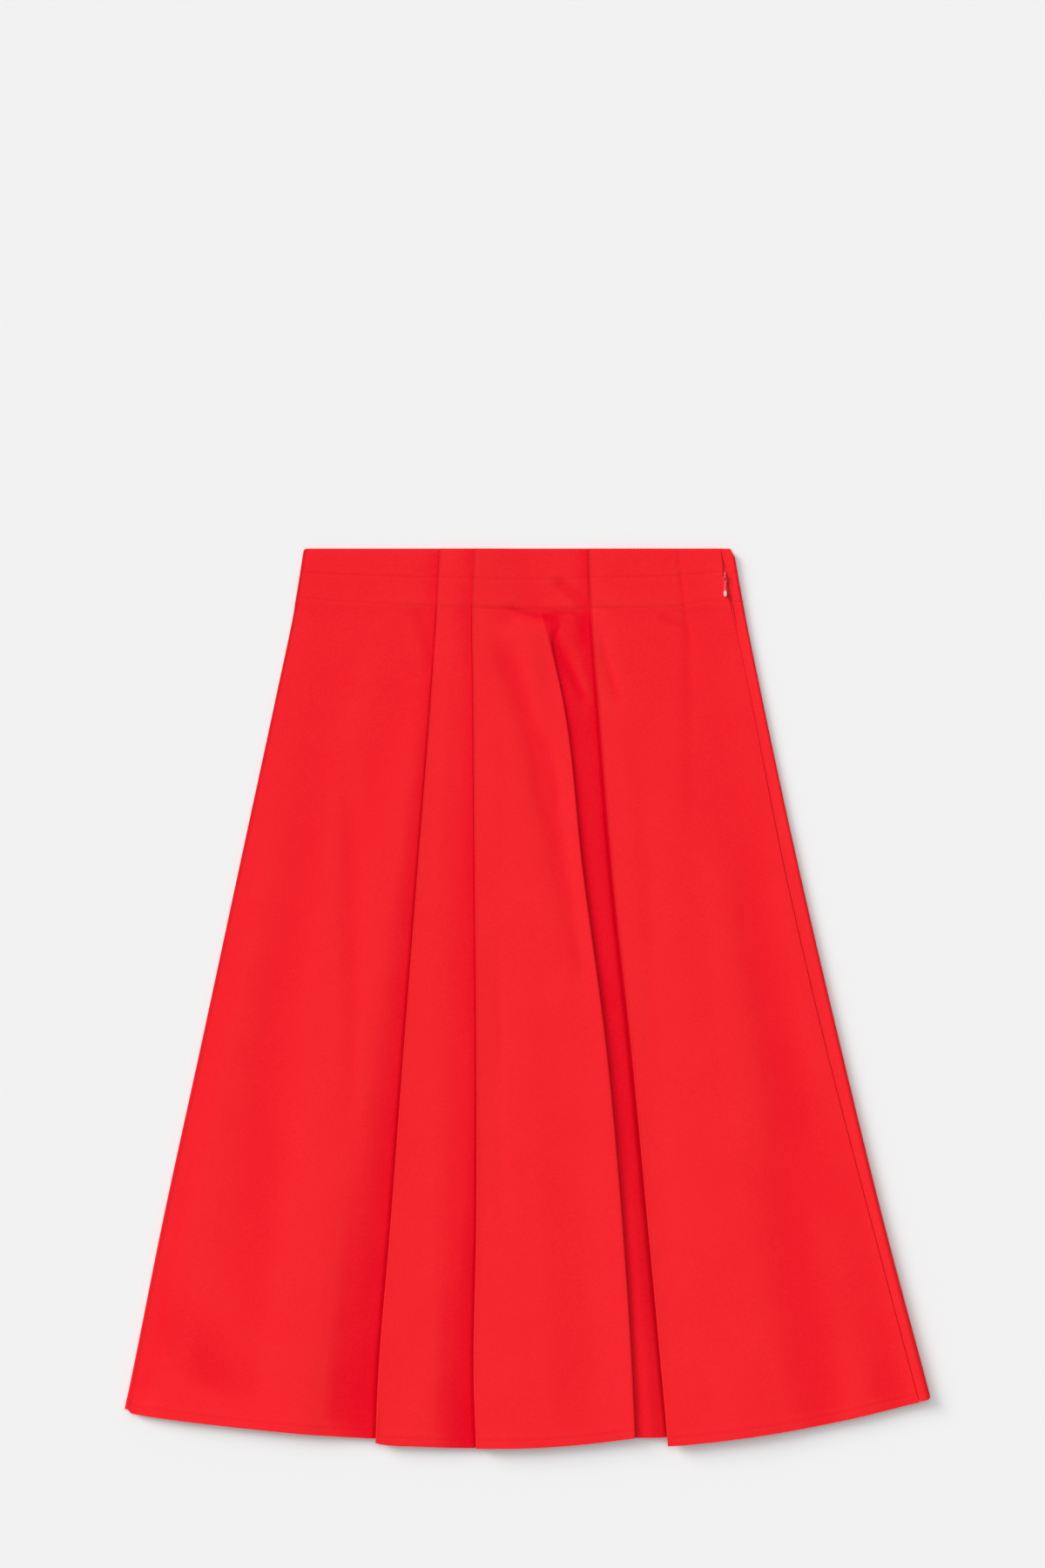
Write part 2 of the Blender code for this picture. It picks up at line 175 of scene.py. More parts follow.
@dataclass(frozen=True)
class SoftRoll:
    """The roll beside the deepest pleat, which grows out of flat cloth under the waist's rows.

    Args:
        rise: Between which levels it rises to its full height.
        turn: Between which levels it turns right under itself.
        open_by: How far it stands open, at the first and at the second of the next levels.
        opens: Between which levels it opens.
        slope: How long its slope is while it only leans.
        slack: How much longer its bends are there.
        depth_hem: How deep it turns under at the hem.
        least_rise: The share of its height that it keeps at the waist, so that its shape is defined.
        least_sine: The least sine of its angle, for the same reason.
        level: How far before its bend the centre panel has risen to it.
        hem: How far below the waist its hem lies.
        faces: How many faces its upper bend, the cloth between and its lower bend take across.
    """

    rise: Ends = (50.0, 74.0)
    turn: Ends = (62.0, 122.0)
    open_by: Ends = (0.3, 1.7)
    opens: Ends = (50.0, 330.0)
    slope: float = 10.0
    slack: float = 1.5
    depth_hem: float = 17.0
    least_rise: float = 0.001
    least_sine: float = 1e-6
    level: float = 12.0
    hem: float = 724.9
    faces: tuple[int, int, int] = (10, 3, 6)


@dataclass(frozen=True)
class Crease:
    """A soft ridge in the cloth, or a trough where its height is under 0.

    Its line runs from start to end, both (x, below), and bows to the right by bow. Heights and
    reaches are given at its start and at its end, and its reach to the right is times lean.
    """

    start: Point
    end: Point
    height: Ends
    reach: Ends
    lean: float = 1.0
    bow: float = 0.0
    fade: float = 30.0

    def lift(self, x: Field, below: Field) -> Field:
        """How far the crease lifts the cloth at each point.

        Args:
            x: The points' x.
            below: Their distances below the waist.
        Returns:
            The lift at each point.
        """
        run_x, run_below = self.end[0] - self.start[0], self.end[1] - self.start[1]
        length = math.hypot(run_x, run_below)
        run_x, run_below = run_x / length, run_below / length
        from_x, from_below = x - self.start[0], below - self.start[1]
        along = from_x * run_x + from_below * run_below
        share = np.clip(along / length, 0.0, 1.0)
        across = from_x * run_below - from_below * run_x - 4 * self.bow * share * (1 - share)
        reach = mix(*self.reach, share) * np.where(across > 0, self.lean, 1.0)
        ends = ease(along, -self.fade / 2, self.fade / 2)
        ends = ends * (1 - ease(along, length - self.fade / 2, length + self.fade / 2))
        return mix(*self.height, share) * ends * np.exp(-((across / reach) ** 2))


LENGTH = 733.5
# The cloth's wall, the air between two layers, the heights of the lowest ones, and what the hem
# adds between a pleat's hidden layers.
WALL = 0.5
AIR = 0.22
PITCH = WALL + AIR
FLOOR_LAYER = 0.6
FRONT_LAYER = 2.0
LEAST_HEIGHT = 1.35
LAYER_LIFT_HEM = 1.0
# Half a millimetre, which rounds a sheet's size up, and the angle from which an edge is sharp.
ROUNDING = 0.0005
SHARP = math.radians(60)
# The air under the front at the hem, the level where it starts, and its share at the left edge.
HEM_AIR = 2.6
HEM_AIR_FROM = 100.0
EDGE_SLOPE = 26.0
EDGE_SHARE = 0.45
# The seams: how far the left one lies under the edge, where the fold of that edge ends, and how
# wide the right one and its groove are and how its slit closes.
LEFT_WRAP = 10.0
LEFT_FOLD_HEM = 702.0
SEAM_GAP = 0.3
SEAM_GROOVE = 0.5
SLIT_CLOSING = 20.0
# The pleats: room past an inner fold, the columns beside an edge and the middle of the dip there.
INNER_CLEAR = 1.5
BESIDE_EDGE = (-7.0, -1.2, 1.5)
GUTTER_OFF = 0.3
# The level at which a column's x picks its place on a hem.
HEM_LEVEL = LENGTH - 10.0
# The sewn bands at the waist and at the hem, which are thicker, and the rows of stitches in them.
HEM_STITCH = 6.5
HEM_CORNER = 3.6
HEM_BAND = 10.0
HEM_EXTRA = 0.12
WAIST_BAND = (44.0, 52.0)
WAIST_EXTRA = 0.3
BAND_EDGE = 2.0
ROW_LEVELS = (0.0, 22.0, 47.0, LENGTH - HEM_STITCH, LENGTH)
# Bands of rows of points, from, to and how far apart, and the last rows at the hem.
LEVEL_BANDS = ((0.0, 60.0, 2.0), (60.0, 112.0, 3.4), (112.0, LENGTH - 16.0, 9.2))
HEM_LEVELS = (LENGTH - 14.0, LENGTH, 10)
# Between which levels the folds' painted shade sets in, and the shares of painted shade that darken
# parts of the cloth, under the waist's rows and at the hem; a share under 0 paints them lighter.
SHADE_FROM = (49.0, 57.0)
UNDERLAY_SHADE = (0.5, -0.30)
GUTTER_SHADE = (0.35, 0.6)
ROLL_SHADE = (0.8, 0.0)
SEAM_SHADE = (0.5, 0.6)
STRIP_LIGHT = (-0.14, -0.14)

LEVELS = (
    Level(0.0, -182.5, -71.6, -43.3, 0.0, 49.6, 156.9, 168.4),
    Level(50.0, -190.7, -74.3, -45.3, 11.4, 51.6, 166.8, 177.1),
    Level(121.0, -205.6, -79.0, -44.6, 28.5, 57.3, 181.8, 191.4),
    Level(263.0, -236.2, -90.0, -43.4, 45.5, 69.0, 209.9, 222.0),
    Level(405.5, -266.8, -101.0, -42.0, 64.4, 84.3, 242.9, 255.4),
    Level(548.0, -297.8, -111.7, -42.0, 77.5, 97.5, 279.9, 290.4),
    Level(690.0, -326.4, -122.7, -43.8, 86.4, 110.6, 317.6, 328.0),
    Level(733.5, -335.6, -124.1, -42.0, 88.2, 114.5, 329.4, 339.3),
)

SLITS = (
    Slit(0.0, 156.9, 157.3),
    Slit(7.8, 158.5, 158.9),
    Slit(14.2, 158.9, 161.8),
    Slit(21.3, 159.1, 163.2),
    Slit(28.5, 160.0, 163.7),
    Slit(36.3, 162.6, 165.4),
    Slit(46.2, 165.5, 167.7),
    Slit(57.6, 168.1, 169.7),
    Slit(68.0, 170.3, 170.8),
)

PLEATS = {
    "a": Pleat(
        "fold_a", depth=(30.0, 49.0, 54.0), roll=(0.2, 1.6), even=(1.0, 0.5), fall=(20.0, 25.0),
        gutter=(0.5, 1.2, 1.6), gutter_reach=(0.8, 1.9, 2.6), hem=(727.0, 729.3),
    ),
    "b": Pleat(
        "fold_b", depth=(10.0, 18.0, 26.0), roll=(0.0, 1.6), even=(1.0, 1.0), fall=(12.0, 26.0),
        gutter=(0.3, 0.7, 1.5), gutter_reach=(0.8, 1.2, 2.4), hem=(732.0, 733.5),
    ),
    # The cloth under pleat C gets the underlay's painted shade.
    "c": Pleat(
        "fold_c", depth=(20.0, 50.0, 78.0), roll=(0.3, 2.2), even=(1.0, 1.0), fall=(20.0, 60.0),
        gutter=(0.6, 2.6, 1.6), gutter_reach=(1.0, 2.9, 1.9), hem=(719.5, 731.5), sunk=UNDERLAY_SHADE,
    ),
}

# The creases: start, end, height and reach, from the underside's air up to the finest.
CREASES = (
    # Air under the cloth, from the waist to the hem.
    Crease((-161, -40), (-300, 790), (0.4, 0.9), (17, 40), fade=1),
    Crease((-80, 100), (-204, 800), (0.3, 4.2), (12, 110), lean=0.44, bow=-2, fade=60),
    Crease((-21, -40), (-7, 780), (0.2, 0.6), (20, 30), fade=1),
    Crease((95, -40), (202, 780), (0.25, 1.8), (22, 61), fade=1),
    Crease((151, -40), (340, 800), (1.45, 3.0), (37, 58), fade=1),
    Crease((163, -40), (352, 800), (3.4, 1.2), (7, 13), fade=1),
    Crease((225, 480), (284, 770), (0.4, 1.2), (20, 26), fade=60),
    Crease((-352, 726), (-128, 758), (2.6, 2.4), (32, 34), fade=1),
    # The left panel.
    Crease((-149, 190), (-146, 480), (-0.35, -0.4), (8, 9), bow=3, fade=90),
    Crease((-146, 480), (-160, 740), (-0.3, -0.6), (9, 14), bow=2, fade=90),
    Crease((-304, 590), (-262, 690), (-0.6, -0.6), (34, 34), fade=90),
    Crease((-312, 608), (-296, 646), (-0.5, -0.6), (14, 14), fade=40),
    Crease((-266, 644), (-244, 690), (-0.6, -0.6), (16, 20), bow=-3, fade=50),
    Crease((-168, 60), (-262, 640), (-0.25, -0.35), (16, 26), bow=8, fade=140),
    Crease((-120, 66), (-186, 420), (0.35, 0.4), (14, 18), bow=-5, fade=120),
    Crease((-214, 330), (-226, 735), (-0.15, -0.3), (12, 22), bow=5, fade=100),
    Crease((-92, 48), (-78, 96), (-0.35, -0.5), (7, 6), bow=2, fade=20),
    # The narrow panel between pleats A and B.
    Crease((-62, 120), (-58, 560), (-0.08, -0.1), (6, 8), bow=2, fade=90),
    Crease((-60, 590), (-66, 745), (-0.3, -1.0), (8, 15), fade=90),
    # The centre panel's long valley beside the soft roll.
    Crease((-25, 78), (16, 200), (-0.9, -1.3), (11, 13), bow=4, fade=50),
    Crease((14, 192), (48, 345), (-1.3, -0.8), (13, 14), bow=-2, fade=50),
    Crease((45, 330), (56, 430), (-0.6, -0.2), (14, 12), bow=2, fade=60),
    Crease((-2, 60), (10, 150), (0.5, 0.4), (9, 11), bow=2, fade=40),
    Crease((-25, 350), (-20, 560), (-0.3, -0.3), (5, 7), fade=80),
    # The cloth under it.
    Crease((30, 110), (90, 735), (0.5, 1.2), (12, 17), bow=4, fade=30),
    Crease((23, 80), (46, 124), (-0.4, -1.0), (4.0, 4.5), bow=0.6, fade=16),
    Crease((26, 62), (33, 82), (0.5, 0.4), (6, 4), fade=14),
    Crease((36, 80), (52, 124), (0.3, 0.6), (4, 4.5), fade=18),
    Crease((44, 50), (47, 78), (-0.9, -0.5), (6, 4), fade=14),
    Crease((85, 530), (103, 740), (0.8, 1.6), (6, 9), fade=50),
    # The right panel.
    Crease((61, 76), (73, 126), (-0.7, -0.6), (3.6, 4.4), bow=-1, fade=20),
    Crease((177, 236), (213, 448), (-0.15, -0.25), (12, 14), bow=-4, fade=90),
    Crease((208, 440), (250, 545), (-0.25, -0.1), (14, 16), bow=3, fade=60),
    Crease((150, 250), (184, 480), (0.6, 0.8), (15, 18), fade=90),
    Crease((206, 262), (240, 430), (0.4, 0.5), (12, 14), fade=70),
    Crease((130, 646), (147, 714), (-0.5, -0.85), (17, 20), bow=3, fade=50),
    Crease((290, 660), (302, 716), (-0.3, -0.5), (18, 20), bow=-4, fade=50),
    Crease((92, 200), (120, 640), (-0.3, -0.5), (10, 14), bow=-4, fade=120),
    # The waist, above and under its second row of stitches.
    Crease((24, 27), (50, 50), (-0.9, -1.0), (4.5, 5.5), bow=1, fade=12),
    Crease((-40, 47.6), (-8, 49.2), (-0.3, -0.6), (1.2, 1.4), fade=8),
    Crease((-12, 49.2), (18, 57.0), (-0.65, -0.9), (1.4, 1.7), bow=-1.2, fade=8),
    Crease((-12, 57), (14, 66), (0.3, 0.4), (4.5, 6.0), bow=-2, fade=14),
    Crease((20, 52.2), (50, 52.8), (-0.6, -0.65), (1.6, 3.2), fade=5),
    Crease((51, 49), (74, 49), (-0.5, -0.25), (1.4, 1.4), fade=8),
    Crease((109, 55), (128, 63), (-0.4, -0.35), (3.0, 3.0), bow=-1, fade=10),
    # The dart, which fades out on the hip.
    Crease((122, 0), (127.5, 48), (-0.30, -0.38), (1.5, 1.5), fade=1),
    Crease((127.5, 48), (131, 76), (-0.38, -0.25), (1.6, 2.2), fade=14),
    Crease((130, 70), (131, 230), (-0.35, -0.2), (4.0, 8.0), fade=50),
    # Where the zip ends.
    Crease((193.5, 173.5), (200.5, 169), (-0.45, -0.35), (1.4, 1.6), bow=1.0, fade=4),
)

# The hem of each stretch of the cloth, as (x, below): the left panel, the two middle ones, the
# cloth under pleat C, the right panel, what wraps under the left edge, and the back.
HEM_LEFT = (
    (-335.6, 702.6), (-331.5, 704.4), (-327.2, 705.3), (-303.1, 708.9), (-253.3, 714.9),
    (-217.7, 718.6), (-182.1, 722.0), (-146.5, 724.6), (-124.0, 725.9), (-70.0, 727.0),
)
HEM_MIDDLE = (
    (-124.1, 729.3), (-118.0, 730.4), (-89.6, 732.0), (-61.2, 733.2), (-42.7, 733.5), (-4.3, 733.3),
    (24.2, 731.9), (52.6, 729.4), (66.9, 727.7), (88.2, 724.9),
)
HEM_UNDER = ((60.0, 724.6), (88.2, 725.1), (112.0, 724.9), (150.0, 722.6), (192.0, 719.5))
HEM_RIGHT = (
    (112.0, 731.5), (120.2, 731.3), (138.0, 729.7), (173.6, 725.5), (209.2, 720.3), (244.7, 714.0),
    (280.3, 706.7), (301.6, 701.8), (323.0, 696.9), (330.0, 695.6),
)
HEM_WRAP = ((-335.0, 700.8), (-324.0, 704.4))
HEM_BACK = (
    (-324.0, 704.6), (-150.0, 717.0), (0.0, 722.0), (160.0, 715.0), (318.0, 697.4), (337.0, 693.3),
)

# The waist's two rows of stitches, as (x, below).
ROW_ONE = (
    (-184.5, 19.7), (-117.4, 22.6), (-64.7, 23.6), (-12.1, 25.4), (9.2, 25.0), (49.1, 24.2),
    (107.4, 22.8), (140.0, 20.6), (156.8, 19.0), (164.5, 21.0), (171.0, 19.4),
)
ROW_TWO = (
    (-188.5, 39.8), (-143.7, 43.4), (-72.6, 47.0), (-38.4, 48.4), (-12.1, 49.8), (20.0, 49.4),
    (51.2, 48.4), (123.1, 47.7), (130.0, 45.2), (146.5, 42.7), (163.0, 43.4), (176.0, 43.0),
)


def smooth_curve(at: Field, value: Field) -> Line:
    """A smooth curve through a column of a table.

    Args:
        at: The distances below the waist of the table's rows.
        value: The column's values.
    Returns:
        A function from a distance below the waist to the value there.
    """
    slope = np.gradient(value, at)

    def curve(below: Field) -> Field:
        """The cubic between the two rows round a level."""
        i = np.clip(np.searchsorted(at, below) - 1, 0, len(at) - 2)
        step = at[i + 1] - at[i]
        s = (below - at[i]) / step
        level = (2 * s**3 - 3 * s**2 + 1) * value[i] + (3 * s**2 - 2 * s**3) * value[i + 1]
        return level + step * ((s**3 - 2 * s**2 + s) * slope[i] + (s**3 - s**2) * slope[i + 1])

    return curve


def table_line(points: Sequence[Point]) -> Line:
    """A smooth curve through points, which stays level past its ends.

    Args:
        points: The points, from left to right.
    Returns:
        The curve, a function of x.
    """
    at, value = np.array(points).T
    curve = smooth_curve(at, value)
    return lambda x: curve(np.clip(x, at[0], at[-1]))


def rounded_end(hem: Line, end: float, side: int) -> Line:
    """A hem whose corner, at the end of its cloth on one side, is rounded off.

    Args:
        hem: The hem, by x.
        end: The x of the cloth's end.
        side: 1 for the right end and -1 for the left.
    Returns:
        The rounded hem, by x.
    """

    def corner(x: Field) -> Field:
        """The hem, drawn up by a quarter circle at its end."""
        into = np.clip((side * (x - end) + HEM_CORNER) / HEM_CORNER, 0.0, 1.0)
        return hem(x) - HEM_CORNER * (1 - np.sqrt(1 - into**2))

    return corner


def level_line(value: float) -> Line:
    """A line that stays at one value."""
    return lambda x: value + 0.0 * x


class Lines:
    """The skirt's lines, each a function from a distance below the waist to x."""

    def __init__(self) -> None:
        """Fits a curve to each column of the table of levels."""
        at = np.array([level.below for level in LEVELS])
        names = ("left", "fold_a", "fold_b", "fold_s", "fold_c", "seam", "right")
        self.named = {n: smooth_curve(at, np.array([getattr(v, n) for v in LEVELS])) for n in names}
        self.front_edge = self.slit_edge("front_edge", -1)
        self.strip_edge = self.slit_edge("strip_edge", 1)

    def slit_edge(self, column: str, side: int) -> Line:
        """One edge of the side seam: the slit's, and below it the seam's, half a gap aside.

        Args:
            column: The name of the slit's edge.
            side: 1 to the right of the seam and -1 to its left.
        Returns:
            The edge, a function from a distance below the waist to x.
        """
        at = np.array([slit.below for slit in SLITS])
        value = np.array([getattr(slit, column) for slit in SLITS])
        seam = self.named["seam"]
        last = value[-1] - float(seam(at[-1]))

        def edge(below: Field) -> Field:
            """The slit's edge above, and the sewn one below."""
            closing = 1 - ease(below, at[-1], at[-1] + SLIT_CLOSING)
            sewn = seam(below) + mix(side * SEAM_GAP / 2, last, closing)
            return np.where(below <= at[-1], np.interp(below, at, value), sewn)

        return edge


LINES = Lines()


# The form of the cloth


def base(x: Field, below: Field) -> Field:
    """The height of the front's lowest layer, which carries every layer above it.

    Args:
        x: The points' x.
        below: Their distances below the waist.
    Returns:
        The height at each point.
    """
    air = HEM_AIR * np.maximum((below - HEM_AIR_FROM) / (LENGTH - HEM_AIR_FROM), 0.0)
    left = LINES.named["left"](below)
    height = FRONT_LAYER + air * mix(EDGE_SHARE, 1.0, ease(x, left, left + EDGE_SLOPE))
    for crease in CREASES:
        height = height + crease.lift(x, below)
    return np.maximum(height, LEAST_HEIGHT)


def floor_layer(x: Field, below: Field) -> Field:
    """The height of the cloth that lies on the floor."""
    return FLOOR_LAYER + 0.0 * x * below


def inner_x(pleat: Pleat, below: Field) -> Field:
    """Where a pleat's hidden layers turn back."""
    return LINES.named[pleat.edge](below) + through(pleat.depth, below / LENGTH)


def lift(below: Field) -> Field:
    """Air between a pleat's hidden layers."""
    return LAYER_LIFT_HEM * below / LENGTH


def stack(letter: str, x: Field, below: Field) -> Field:
    """The height of a pleat's top layer over its lowest, which fades across its panel.

    Args:
        letter: The pleat's name.
        x: The points' x.
        below: Their distances below the waist.
    Returns:
        The height at each point.
    """
    pleat = PLEATS[letter]
    share = below / LENGTH
    height = 2 * PITCH + lift(below) + mix(*pleat.roll, share)
    end = LINES.named["seam"](below) if letter == "c" else ROLL.start(below)
    evenly = ease(x, LINES.named[pleat.edge](below), end)
    inner = inner_x(pleat, below) + INNER_CLEAR
    past_fold = ease(x, inner, inner + mix(*pleat.fall, share))
    return height * (1 - mix(past_fold, evenly, mix(*pleat.even, share)))


def under_pleat(letter: str, x: Field, below: Field) -> Field:
    """The height of the cloth that a pleat lies on."""
    return base(x, below) + (stack("a", x, below) if letter == "b" else 0.0)


def gutter(letter: str) -> Height:
    """The height rule of the cloth that runs under a pleat's edge, with its dip there.

    Args:
        letter: The pleat's name.
    Returns:
        The height rule.
    """
    pleat = PLEATS[letter]

    def height(x: Field, below: Field) -> Field:
        """The cloth under the pleat, less the dip."""
        share = below / LENGTH
        off = (x - LINES.named[pleat.edge](below) - GUTTER_OFF) / through(pleat.gutter_reach, share)
        dip = through(pleat.gutter, share) * np.exp(-(off * off))
        return np.maximum(under_pleat(letter, x, below) - dip, LEAST_HEIGHT)

    return height


def middle_height(letter: str) -> Height:
    """The height rule of a pleat's middle layer, halfway up its stack."""
    return lambda x, below: under_pleat(letter, x, below) + stack(letter, x, below) / 2


def panel_height(letter: str) -> Height:
    """The height rule of the panel that starts at a pleat's edge."""
    return lambda x, below: under_pleat(letter, x, below) + stack(letter, x, below)


@dataclass(frozen=True)
class RollShape:
    """The soft roll's section at each level."""

    rise: Field
    upper: Field
    lower: Field
    angle: Field
    between: Field
    slack: Field


@dataclass(frozen=True)
class RollForm:
    """The soft roll's surface, worked out from its sizes."""

    sizes: SoftRoll = SoftRoll()

    def shape(self, below: Field) -> RollShape:
        """Its rise, radii, angle and middle length at each level.

        Args:
            below: The levels, as distances below the waist.
        Returns:
            The shape of its section at each of them.
        """
        sizes = self.sizes
        upper = (PITCH + mix(*sizes.open_by, ease(below, *sizes.opens))) / 2
        lower = (PITCH + lift(below)) / 2
        rise = np.maximum(ease(below, *sizes.rise), sizes.least_rise)
        leaning = np.arctan(2 * (upper + lower) * rise / sizes.slope)
        turned = ease(below, *sizes.turn)
        angle = mix(leaning, math.pi, turned)
        sine = np.maximum(np.sin(angle), sizes.least_sine)
        steep = (upper + lower) * (2 * rise - 1 + np.cos(angle)) / sine
        deep = sizes.depth_hem * (below - sizes.turn[1]) / (LENGTH - sizes.turn[1])
        between = np.where(turned < 1, steep, deep)
        slack = sizes.slack * (1 - angle / math.pi) ** 2
        return RollShape(rise, upper, lower, angle, between, slack)

    def start(self, below: Field) -> Field:
        """Where the roll starts to turn down, on its left."""
        return LINES.named["fold_s"](below) - self.shape(below).upper - WALL / 2

    def lift(self, x: Field, below: Field) -> Field:
        """How far the roll lifts the centre panel, more and more from pleat B to it."""
        shape = self.shape(below)
        height = 2 * (shape.upper + shape.lower) * shape.rise
        return height * ease(x, LINES.named["fold_b"](below), self.start(below) - self.sizes.level)

    def point(self, passed: tuple[Field, Field, Field], below: Field) -> tuple[Field, Field]:
        """A point of the roll.

        Args:
            passed: The shares passed of its upper bend, of the cloth between and of its lower bend.
            below: The point's distance below the waist.
        Returns:
            Its x and its height.
        """
        bent, crossed, unbent = passed
        shape = self.shape(below)
        up = 2 * (shape.upper + shape.lower) * shape.rise
        angle = shape.angle * bent
        x = self.start(below) + shape.upper * np.sin(angle) + shape.slack * bent
        up = up - shape.upper * (1 - np.cos(angle))
        x = x + shape.between * crossed * np.cos(shape.angle)
        up = up - shape.between * crossed * np.sin(shape.angle)
        left = shape.angle * (1 - unbent)
        x = x + shape.lower * (np.sin(shape.angle) - np.sin(left)) + shape.slack * unbent
        up = up - shape.lower * (np.cos(left) - np.cos(shape.angle))
        return x, base(x, below) + up

    def bend(self, stage: int) -> Place:
        """The place rule of one of its three stages: the upper bend, the cloth between, the lower."""
        return lambda share, below: self.point(
            tuple(share if n == stage else float(n < stage) for n in range(3)), below
        )

    def end(self, below: Field) -> Field:
        """Where the roll's lower bend ends."""
        return self.point((1.0, 1.0, 1.0), below)[0]


ROLL = RollForm()


def centre_height(x: Field, below: Field) -> Field:
    """The height of the centre panel, between pleat B and the soft roll."""
    return panel_height("b")(x, below) + ROLL.lift(x, below)


def run(start: Line, end: Line, height: Height) -> Place:
    """A stretch of cloth from one line to another, at a height rule.

    Args:
        start: The line where it starts.
        end: The line where it ends.
        height: Its height rule.
    Returns:
        Its place rule.
    """

    def place(share: Field, below: Field) -> tuple[Field, Field]:
        """The point at a share of the way across."""
        x = mix(start(below), end(below), share)
        return x, height(x, below)

    return place


def turn(centre: Line, first: Height, last: Height, side: int) -> Place:
    """A fold: a half circle from one height rule to another, bulging to one side.

    Args:
        centre: The line of its middle.
        first: The height rule of the layer where the fold starts.
        last: That of the layer where it ends.
        side: 1 where it bulges to the right and -1 to the left.
    Returns:
        Its place rule.
    """

    def place(share: Field, below: Field) -> tuple[Field, Field]:
        """The point at a share of the half circle."""
        x = centre(below)
        low, high = first(x, below), last(x, below)
        angle = math.pi * share
        bulge = side * np.abs(high - low) / 2 * np.sin(angle)
        return x + bulge, mix(low, high, (1 - np.cos(angle)) / 2)

    return place


def fold_centre(line: Line, first: Height, last: Height, side: int) -> Line:
    """The middle of a fold whose outer face touches a line.

    Args:
        line: The line that it touches.
        first: The height rule of the layer where the fold starts.
        last: That of the layer where it ends.
        side: 1 where it bulges to the right and -1 to the left.
    Returns:
        The line of its middle.
    """

    def centre(below: Field) -> Field:
        """The line, moved in by the fold's radius and half a wall."""
        x = line(below)
        return x - side * (np.abs(last(x, below) - first(x, below)) / 2 + WALL / 2)

    return centre


def shifted(line: Line, by: float) -> Line:
    """A line moved to the right."""
    return lambda below: line(below) + by


@dataclass(frozen=True)
class Span:
    """A span of a cut piece, from one fold to the next.

    Args:
        place: Its place rule.
        faces: How many faces it takes across.
        hem: How far below the waist its hem lies, by x.
        top: How far below the waist its top edge lies, at its start, middle and end.
        crowding: Over 1 sets its points closer at its start.
        pressed: How much painted shade darkens its fold edge, at the waist and at the hem.
        sunk: How much painted shade darkens it, under the rows of the waist and at the hem; under 0 it
            paints it lighter.
    """

    place: Place
    faces: int
    hem: Line
    top: tuple[float, float, float] = (0.0, 0.0, 0.0)
    crowding: float = 1.0
    pressed: Ends = (0.0, 0.0)
    sunk: Ends = (0.0, 0.0)

    def shares(self, steps: int) -> Field:
        """Shares of the way across it, for a number of steps."""
        return np.linspace(0.0, 1.0, steps + 1)[None, :] ** self.crowding

    def hem_below(self, share: Field) -> Field:
        """How far below the waist its hem lies at each share."""
        return self.hem(self.place(share, np.full_like(share, HEM_LEVEL))[0])


def knife_pleat(letter: str, beside: Line) -> tuple[Line, list[Span]]:
    """The spans of a knife pleat.

    Args:
        letter: The pleat's name.
        beside: The hem of the cloth that runs under its edge.
    Returns:
        The line on which its top panel starts, and its spans, from just beside its edge.
    """
    pleat, middle, top = PLEATS[letter], middle_height(letter), panel_height(letter)
    # sunk is the painted shade of the cloth under the pleat; just beside its edge the gutter's painted
    # shade adds to it.
    under, sunk = gutter(letter), pleat.sunk
    shaded = (sunk[0] + GUTTER_SHADE[0], sunk[1] + GUTTER_SHADE[1])
    hem_inner, hem_edge = pleat.hem
    line = LINES.named[pleat.edge]
    first, near, past = (shifted(line, by) for by in BESIDE_EDGE)
    edge = fold_centre(line, middle, top, -1)

    def inner(below: Field) -> Field:
        """Where the pleat turns back."""
        return inner_x(pleat, below)

    def between(x: Field) -> Field:
        """The middle layer's hem, from the edge to the inner fold."""
        start, end = edge(np.float64(LENGTH)), inner(np.float64(LENGTH))
        return mix(hem_edge, hem_inner, np.clip((x - start) / (end - start), 0.0, 1.0))

    return edge, [
        Span(run(first, near, under), 7, beside, sunk=sunk),
        Span(run(near, past, under), 5, beside, sunk=shaded),
        Span(run(past, inner, under), 8, beside, sunk=sunk),
        Span(turn(inner, under, middle, 1), 6, level_line(hem_inner)),
        Span(run(inner, edge, middle), 8, between),
        # The fold's edge gets painted shade, strongest at the waist.
        Span(turn(edge, middle, top, -1), 10, level_line(hem_edge), pressed=(1.0, 0.3)),
    ]


